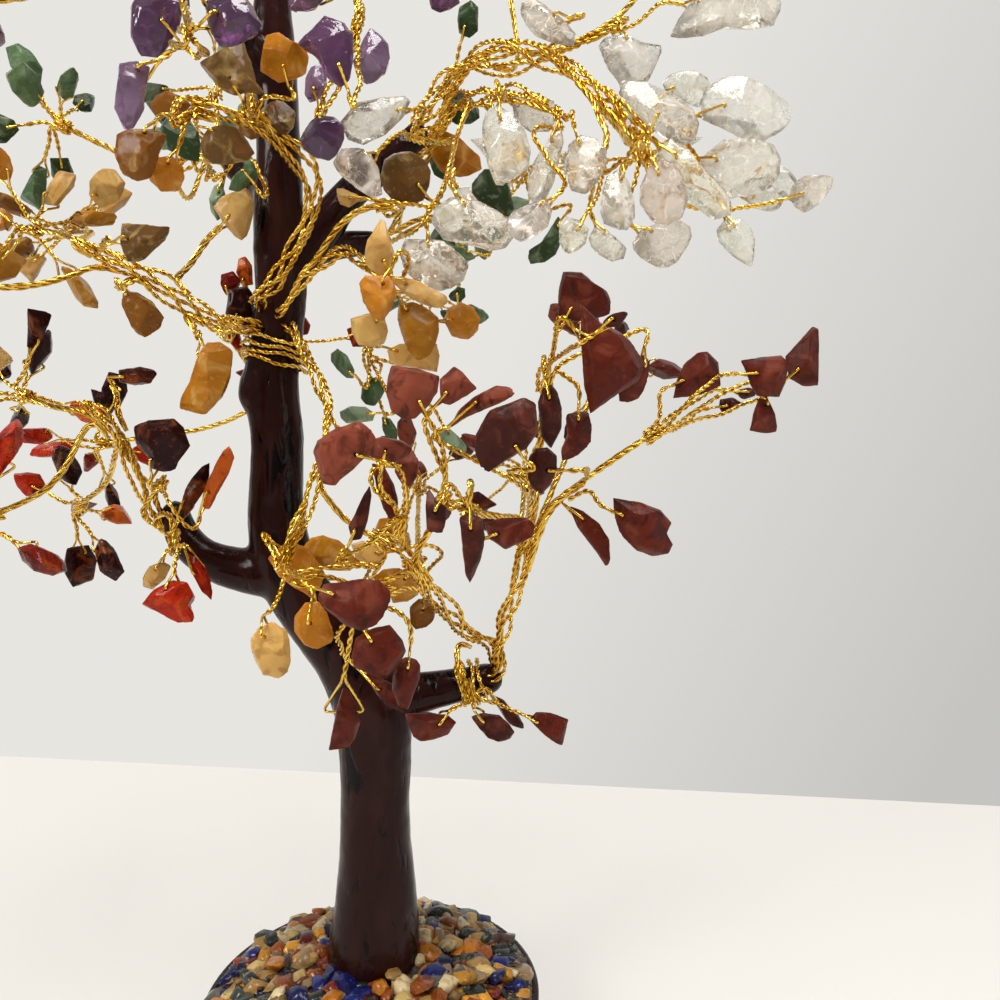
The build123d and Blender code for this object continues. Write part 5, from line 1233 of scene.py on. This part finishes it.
    def tint(self, piece: bpy.types.Object, solids: list[Island], rnd: random.Random) -> None:
        """Writes each chip's tint on its part of the piece.

        Args:
            piece: The piece.
            solids: The chips' solids, in the order of the listed tints.
            rnd: The source of chance.
        """
        shades = [SHORT[letter] for letter in self.seen]
        shades += [rnd.choice(self.kind.shades) for _ in range(len(solids) - len(shades))]
        colours = []
        for shade in shades[: len(solids)]:
            lift, warm = rnd.uniform(*self.lifts), rnd.uniform(*self.warmths)
            red, green, blue = shade.value
            colours.append((min(1, red * lift * warm), min(1, green * lift), min(1, blue * lift / warm), 1.0))
        places = np.zeros(len(piece.data.vertices) * 3)
        piece.data.vertices.foreach_get("co", places)
        places = places.reshape(-1, 3)
        owner, nearest = np.zeros(len(places), int), np.full(len(places), 1e9)
        for number, solid in enumerate(solids):
            low, high = solid.points.min(0) - self.tint_reach, solid.points.max(0) + self.tint_reach
            inside = np.where(((places > low) & (places < high)).all(1))[0]
            if len(inside):
                away = np.linalg.norm(places[inside][:, None] - solid.points[None], axis=2).min(1)
                closer = away < nearest[inside]
                owner[inside[closer]] = number
                nearest[inside[closer]] = away[closer]
        write_tints(piece, np.array(colours)[owner])


@dataclass
class Trunk:
    """The moulded trunk: one skin with eased joins and an uneven surface. Each of its swells is a size and a
    share of the whole swell."""

    voxel: float = 0.75 * MM
    ease: int = 9
    swell: float = 0.7 * MM
    swells: tuple[tuple[float, float], ...] = ((14 * MM, 1.0), (4.5 * MM, 0.4))

    def build(self) -> None:
        """Builds and dresses the trunk."""
        heap = Heap()
        for solid in islands_of("trunk"):
            heap.add(solid.points, solid.faces)
        piece = heap.piece("trunk_skin")
        apply(piece, "REMESH", mode="VOXEL", voxel_size=self.voxel)
        apply(piece, "SMOOTH", factor=0.5, iterations=self.ease)
        for size, share in self.swells:
            ripple(piece, f"trunk_{round(size / MM)}", size, self.swell * share)
        smooth(piece)
        hand_over(piece, Lacquer().material(), "trunk")


@dataclass
class Winding:
    """A twisted pair wound round the trunk or a stub."""

    node: str
    strand: float = 0.27 * MM
    twist: float = 3.8 * MM
    lean: float = 0.0
    step: float = 0.4 * MM
    ease: int = 6
    stray: float = 0.6 * MM
    seed: float = 7.0

    def build(self, wire: bpy.types.Material) -> None:
        """Builds and dresses the winding.

        Args:
            wire: The wire's material.
        """
        work = WireWork(f"{self.node}_strands", self.strand)
        for island in islands_of(self.node):
            line = softened(resampled(tube_line(island).points, self.step), self.ease)
            line = strayed(line, self.stray, self.seed)
            line[:, 2] -= self.lean * (line[:, 0] - line[:, 0].mean())
            for side in (0.0, math.pi):
                work.add(wound(line, self.strand, self.twist, side))
        hand_over(work.build(), wire, self.node)


@dataclass(frozen=True)
class Strewn:
    """One layer of gravel: how many pebbles, their least and greatest size, how far their tops stand over the
    resin at the least and the most, and how bright they are."""

    count: int
    least: float
    most: float
    low: float
    high: float
    brightness: float


@dataclass(frozen=True)
class Gravel:
    """One colour of gravel: its CAD node, its share of the pebbles, its tints and its dark markings."""

    node: str
    share: float
    tints: tuple[Colour, ...]
    dark: Colour


@dataclass
class Base:
    """The plinth with its resin bed and gravel."""

    recess: float = 36.6 * MM
    level: float = 17.5 * MM
    slope: float = 6.5 / 27.6
    foot: float = 11.0 * MM
    inner_share: float = 0.86
    rings: int = 40
    spokes: int = 120
    eased_rings: int = 4
    skin: float = 2.6 * MM
    dimple: float = 3.2 * MM
    dimple_depth: float = 0.5 * MM
    cover: float = 0.75 * MM
    moulds: int = 12
    cuts: int = 8
    cut_depths: tuple[float, float] = (0.24, 0.42)
    gravel_from: float = 0.93
    rim_gap: float = 0.3
    brightnesses: tuple[float, float] = (0.7, 1.15)
    sizes_lean_small: float = 1.3
    stretches: tuple[tuple[float, float], ...] = ((0.85, 1.3), (0.6, 1.0), (0.5, 0.85))
    tilt: float = 0.6
    sunk_over: float = 14 * MM
    layers: tuple[Strewn, ...] = (
        Strewn(520, 2.4 * MM, 4.0 * MM, 0.9 * MM, 2.0 * MM, 0.6),
        Strewn(330, 4.6 * MM, 8.4 * MM, 1.6 * MM, 3.9 * MM, 1.0),
    )
    palette: tuple[Gravel, ...] = (
        Gravel("gravel_cream", 0.36,
               ((0.62, 0.43, 0.15), (0.46, 0.26, 0.07), (0.76, 0.6, 0.32), (0.3, 0.19, 0.08)),
               (0.2, 0.08, 0.02)),
        Gravel("gravel_amber", 0.25, ((0.55, 0.18, 0.01), (0.3, 0.07, 0.008), (0.66, 0.3, 0.03)),
               (0.12, 0.03, 0.006)),
        Gravel("gravel_grey", 0.17, ((0.04, 0.05, 0.035), (0.09, 0.09, 0.07), (0.018, 0.022, 0.018)),
               (0.01, 0.01, 0.01)),
        Gravel("gravel_blue", 0.12, ((0.007, 0.012, 0.1), (0.01, 0.02, 0.17), (0.004, 0.006, 0.035)),
               (0.003, 0.004, 0.02)),
        Gravel("gravel_red", 0.1, ((0.16, 0.016, 0.009), (0.08, 0.014, 0.008), (0.28, 0.04, 0.012)),
               (0.03, 0.006, 0.005)),
    )

    def build(self) -> None:
        """Builds and dresses the base."""
        lacquer = Lacquer("plinth_lacquer", (0.02, 0.007, 0.005), (0.004, 0.002, 0.002), (0.04, 0.016, 0.01))
        dress(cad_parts["plinth"], lacquer.material())
        self.make_bed()
        self.make_gravel()

    def surface(self, radius: float) -> float:
        """The height of the heaped resin at a distance from the middle."""
        return self.level + (self.recess - radius) * self.slope

    def make_bed(self) -> None:
        """The resin's uneven top and its skirt, round the trunk's foot."""
        rings, spokes = self.rings, self.spokes
        inner, outer = self.foot * self.inner_share, self.recess - 0.1 * MM
        vertices, faces = [], []
        for ring in range(rings + 1):
            radius = inner + (outer - inner) * ring / rings
            for spoke in range(spokes):
                turn = 2 * math.pi * spoke / spokes
                x, y = radius * math.cos(turn), radius * math.sin(turn)
                rise = noise.noise(Vector((x, y, 0.3)) / self.dimple) * self.dimple_depth + self.cover
                edge = min(1.0, (rings - ring) / self.eased_rings)
                vertices.append((x, y, self.surface(radius) + rise * edge))
        for ring in range(rings):
            for spoke in range(spokes):
                after = (spoke + 1) % spokes
                a, b = ring * spokes, (ring + 1) * spokes
                faces.append((a + spoke, b + spoke, b + after, a + after))
        bed = piece_from("resin_top", vertices, faces)
        apply(bed, "SOLIDIFY", thickness=self.skin, offset=-1.0)
        smooth(bed, 40)
        hand_over(bed, ResinBed().material(), "resin_bed")

    def pebble(self, rnd: random.Random) -> tuple[np.ndarray, list[tuple[int, ...]]]:
        """One broken pebble of unit size, cut from an eased ball.

        Args:
            rnd: The source of chance.

        Returns:
            Its points and faces.
        """
        choose_nothing()
        bpy.ops.mesh.primitive_ico_sphere_add(subdivisions=1, radius=0.52)
        ball = bpy.context.view_layer.objects.active
        bpy.ops.object.mode_set(mode="EDIT")
        for _ in range(self.cuts):
            normal = Vector((rnd.gauss(0, 1), rnd.gauss(0, 1), rnd.gauss(0, 1))).normalized()
            bpy.ops.mesh.select_all(action="SELECT")
            bpy.ops.mesh.bisect(plane_co=normal * rnd.uniform(*self.cut_depths), plane_no=normal,
                                use_fill=True, clear_outer=True)
        bpy.ops.object.mode_set(mode="OBJECT")
        apply(ball, "DECIMATE", decimate_type="DISSOLVE", angle_limit=math.radians(12))
        apply(ball, "TRIANGULATE")
        points = np.array([tuple(v.co) for v in ball.data.vertices])
        faces = [tuple(p.vertices) for p in ball.data.polygons]
        bpy.data.objects.remove(ball)
        return points, faces

    def make_gravel(self) -> None:
        """The gravel: broken pebbles strewn over the bed in two layers, one piece for each colour."""
        rnd = random.Random("strewn gravel")
        moulds = [self.pebble(rnd) for _ in range(self.moulds)]
        heaps = {gravel.node: Heap() for gravel in self.palette}
        golden = math.pi * (3 - math.sqrt(5))
        for layer in self.layers:
            inner, outer = self.foot * self.gravel_from, self.recess - self.rim_gap * layer.most
            for number in range(layer.count):
                share = (number + 0.5) / layer.count
                radius = math.sqrt(inner**2 + (outer**2 - inner**2) * share) + rnd.uniform(-0.5, 0.5) * MM
                turn = golden * number + 0.4 * rnd.uniform(-1, 1) / (radius / (10 * MM))
                gravel = rnd.choices(self.palette, [entry.share for entry in self.palette])[0]
                points, faces = rnd.choice(moulds)
                placed = self.laid(points, layer, radius, turn, rnd)
                tint = np.array([*rnd.choice(gravel.tints), 1.0])
                tint *= np.array([rnd.uniform(*self.brightnesses) * layer.brightness] * 3 + [1.0])
                heaps[gravel.node].add(placed, faces, np.minimum(tint, 1.0))
        for gravel in self.palette:
            heap = heaps[gravel.node]
            piece = heap.piece(f"{gravel.node}_strewn")
            write_tints(piece, np.concatenate(heap.tints))
            smooth(piece, 58)
            hand_over(piece, Pebble(gravel.node, gravel.dark).material(), gravel.node)

    def laid(self, points: np.ndarray, layer: Strewn, radius: float, turn: float,
             rnd: random.Random) -> np.ndarray:
        """A pebble's points, stretched, turned and set on the resin.

        Args:
            points: The points at unit size.
            layer: The pebble's layer.
            radius: Its distance from the middle.
            turn: Its direction from the middle, in radians.
            rnd: The source of chance.

        Returns:
            The placed points.
        """
        size = layer.least + (layer.most - layer.least) * rnd.random() ** self.sizes_lean_small
        stretch = size * np.array([rnd.uniform(*span) for span in self.stretches])
        spin = Matrix.Rotation(rnd.uniform(0, 6.3), 3, "Z")
        spin = spin @ Matrix.Rotation(rnd.uniform(-self.tilt, self.tilt), 3, "X")
        placed = (points * stretch) @ np.array(spin).T
        inboard = min(1.0, 0.5 + (self.recess - radius) / self.sunk_over)
        top = self.surface(radius) + rnd.uniform(layer.low, layer.high) * inboard
        return placed + np.array([radius * math.cos(turn), radius * math.sin(turn), top - placed[:, 2].max()])


@dataclass(frozen=True)
class Lamp:
    """A square lamp: its name, its place and size in metres, and its power in watts."""

    name: str
    place: tuple[float, float, float]
    size: float
    power: float


@dataclass
class Studio:
    """The camera, the white table, the pale wall and the lamps, with the two ends of the table's far edge."""

    lens: float = 27.18
    eye: tuple[float, float, float] = (29.0 * MM, -175.4 * MM, 130.0 * MM)
    sensor: float = 36.0
    nearest: float = 0.005
    edge_left: tuple[float, float] = (-0.157, 0.199)
    edge_right: tuple[float, float] = (0.191, 0.152)
    wall: Colour = (0.66, 0.655, 0.635)
    table: Colour = (0.93, 0.9, 0.85)
    reach: float = 4.0
    wall_back: float = 1.5
    wall_low: float = -2.0
    wall_high: float = 3.0
    painted_light_falloff: tuple[float, float, float] = (-0.68, 0.35, 0.84)
    sky: Colour = (0.96, 0.97, 1.0)
    sky_strength: float = 0.2
    wall_in_gloss: float = 0.2
    lamp_colour: Colour = (1.0, 0.985, 0.96)
    lamp_aim: tuple[float, float, float] = (0.0, 0.0, 0.15)
    lamps: tuple[Lamp, ...] = (
        Lamp("window", (-0.7, -0.6, 0.7), 0.35, 6.2),
        Lamp("ceiling", (0.15, -0.3, 1.0), 0.45, 7.0),
        Lamp("fill", (0.9, -0.45, 0.3), 0.4, 0.9),
    )

    def build(self) -> None:
        """Sets up the stage."""
        self.make_camera()
        self.make_table()
        self.make_wall()
        self.make_light()
        bpy.context.scene.view_settings.view_transform = "Standard"

    def make_camera(self) -> None:
        """The camera, level and looking along +Y."""
        data = bpy.data.cameras.new("camera")
        data.lens, data.sensor_width, data.clip_start = self.lens, self.sensor, self.nearest
        camera = bpy.data.objects.new("camera", data)
        camera.location, camera.rotation_euler = self.eye, (math.pi / 2, 0, 0)
        bpy.context.scene.collection.objects.link(camera)
        bpy.context.scene.camera = camera

    def flat(self, name: str, corners: Sequence[tuple[float, float, float]],
             material: bpy.types.Material) -> None:
        """Adds one flat sheet of the stage.

        Args:
            name: The sheet's name.
            corners: Its corners.
            material: Its material.
        """
        sheet = piece_from(name, corners, [tuple(range(len(corners)))])
        dress(sheet, material)

    def shown(self, name: str, colour: Colour, seen: tuple[Colour, Colour],
              share: float) -> bpy.types.Material:
        """A matt surface that camera, mirror and glass rays see partly at a set brightness.

        Args:
            name: The material's name.
            colour: Its colour under the lamps.
            seen: What those rays see low on the right, and what they see high on the left: painted light,
                brighter high on the left.
            share: How much of it they see. The rest is the lit surface.

        Returns:
            The material.
        """
        paint = Paint(name)
        paint.finish(Base_Color=colour, Roughness=0.7, Specular_IOR_Level=0.2)
        across, up = (paint.node("ShaderNodeSeparateXYZ", None, {0: paint.place()}, axis) for axis in "XZ")
        # Painted light falloff: the surface is painted brighter towards the upper left, where the light falls
        painted_light_falloff = (across * self.painted_light_falloff[0] + up * self.painted_light_falloff[1] + self.painted_light_falloff[2]).clamped()
        painted_glow = paint.node("ShaderNodeEmission", None, {"Color": paint.blend(painted_light_falloff, *seen), "Strength": 1.0})
        camera, glossy, glass = paint.rays()
        factor = (camera + glossy + glass).clamped() * share
        return paint.overlaid(factor, painted_glow)

    def make_table(self) -> None:
        """The white table top, whose far edge runs slightly askew."""
        (x0, y0), (x1, y1) = self.edge_left, self.edge_right
        slope = (y1 - y0) / (x1 - x0)
        far = [(x, y0 + slope * (x - x0), 0.0) for x in (self.reach, -self.reach)]
        corners = [(-self.reach, -self.reach, 0.0), (self.reach, -self.reach, 0.0), *far]
        # Painted light on the table for camera, mirror and glass rays: brighter towards the left
        seen = ((0.95, 0.92, 0.86), (1.0, 0.965, 0.895))
        self.flat("table", corners, self.shown("white_table", self.table, seen, 0.6))

    def make_wall(self) -> None:
        """The pale wall behind."""
        places = ((-self.reach, self.wall_low), (self.reach, self.wall_low),
                  (self.reach, self.wall_high), (-self.reach, self.wall_high))
        corners = [(x, self.wall_back, z) for x, z in places]
        # Painted light on the wall for camera, mirror and glass rays: darker low on the right, brighter high
        # on the left
        seen = ((0.56, 0.555, 0.53), (0.8, 0.785, 0.75))
        self.flat("wall", corners, self.shown("pale_wall", self.wall, seen, 1.0))

    def make_light(self) -> None:
        """A soft even world that camera and glass rays see paler, and three broad lamps."""
        sky = Sky("studio")
        sky.finish(Color=self.sky, Strength=self.sky_strength)
        seen = sky.node("ShaderNodeBackground", None, {"Color": (*self.wall, 1.0), "Strength": 1.0})
        camera, glossy, glass = sky.rays()
        factor = (camera + glass + glossy * self.wall_in_gloss).clamped()
        sky.overlaid(factor, seen)
        for lamp in self.lamps:
            data = bpy.data.lights.new(lamp.name, "AREA")
            data.size, data.energy, data.color = lamp.size, lamp.power, self.lamp_colour
            hung = bpy.data.objects.new(lamp.name, data)
            hung.location = lamp.place
            aim = Vector(self.lamp_aim) - Vector(lamp.place)
            hung.rotation_euler = aim.to_track_quat("-Z", "Y").to_euler()
            bpy.context.scene.collection.objects.link(hung)


def main() -> None:
    """Builds the stage and every piece in order."""
    Studio().build()
    wire = Gilt().material()
    stone = {name: kind.finish.material() for name, kind in KINDS.items()}
    Trunk().build()
    dress(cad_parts["trunk_core"], wire)
    for node, lean in (("knob_winding", 0.24), ("stub_winding", 0.0)):
        Winding(node, lean=lean).build(wire)
    Base().build()
    holes: list[tuple[np.ndarray, np.ndarray]] = []
    for name, seen in SEEN.items():
        word = name.split("_")[0]
        limb = Limb(name)
        limb.build(wire)
        holes += limb.holes()
        ChipSet(f"{name}_stones", KINDS[word], "tree", limb.holes(), seen).build(stone[word])
    for node, shade in (("jasper_drop", "b"), ("citrine_drop_left", "c"), ("citrine_drop_right", "h")):
        word = node.split("_")[0]
        ChipSet(node, KINDS[word], node, holes, shade).build(stone[word])


if __name__ == "__main__":
    main()
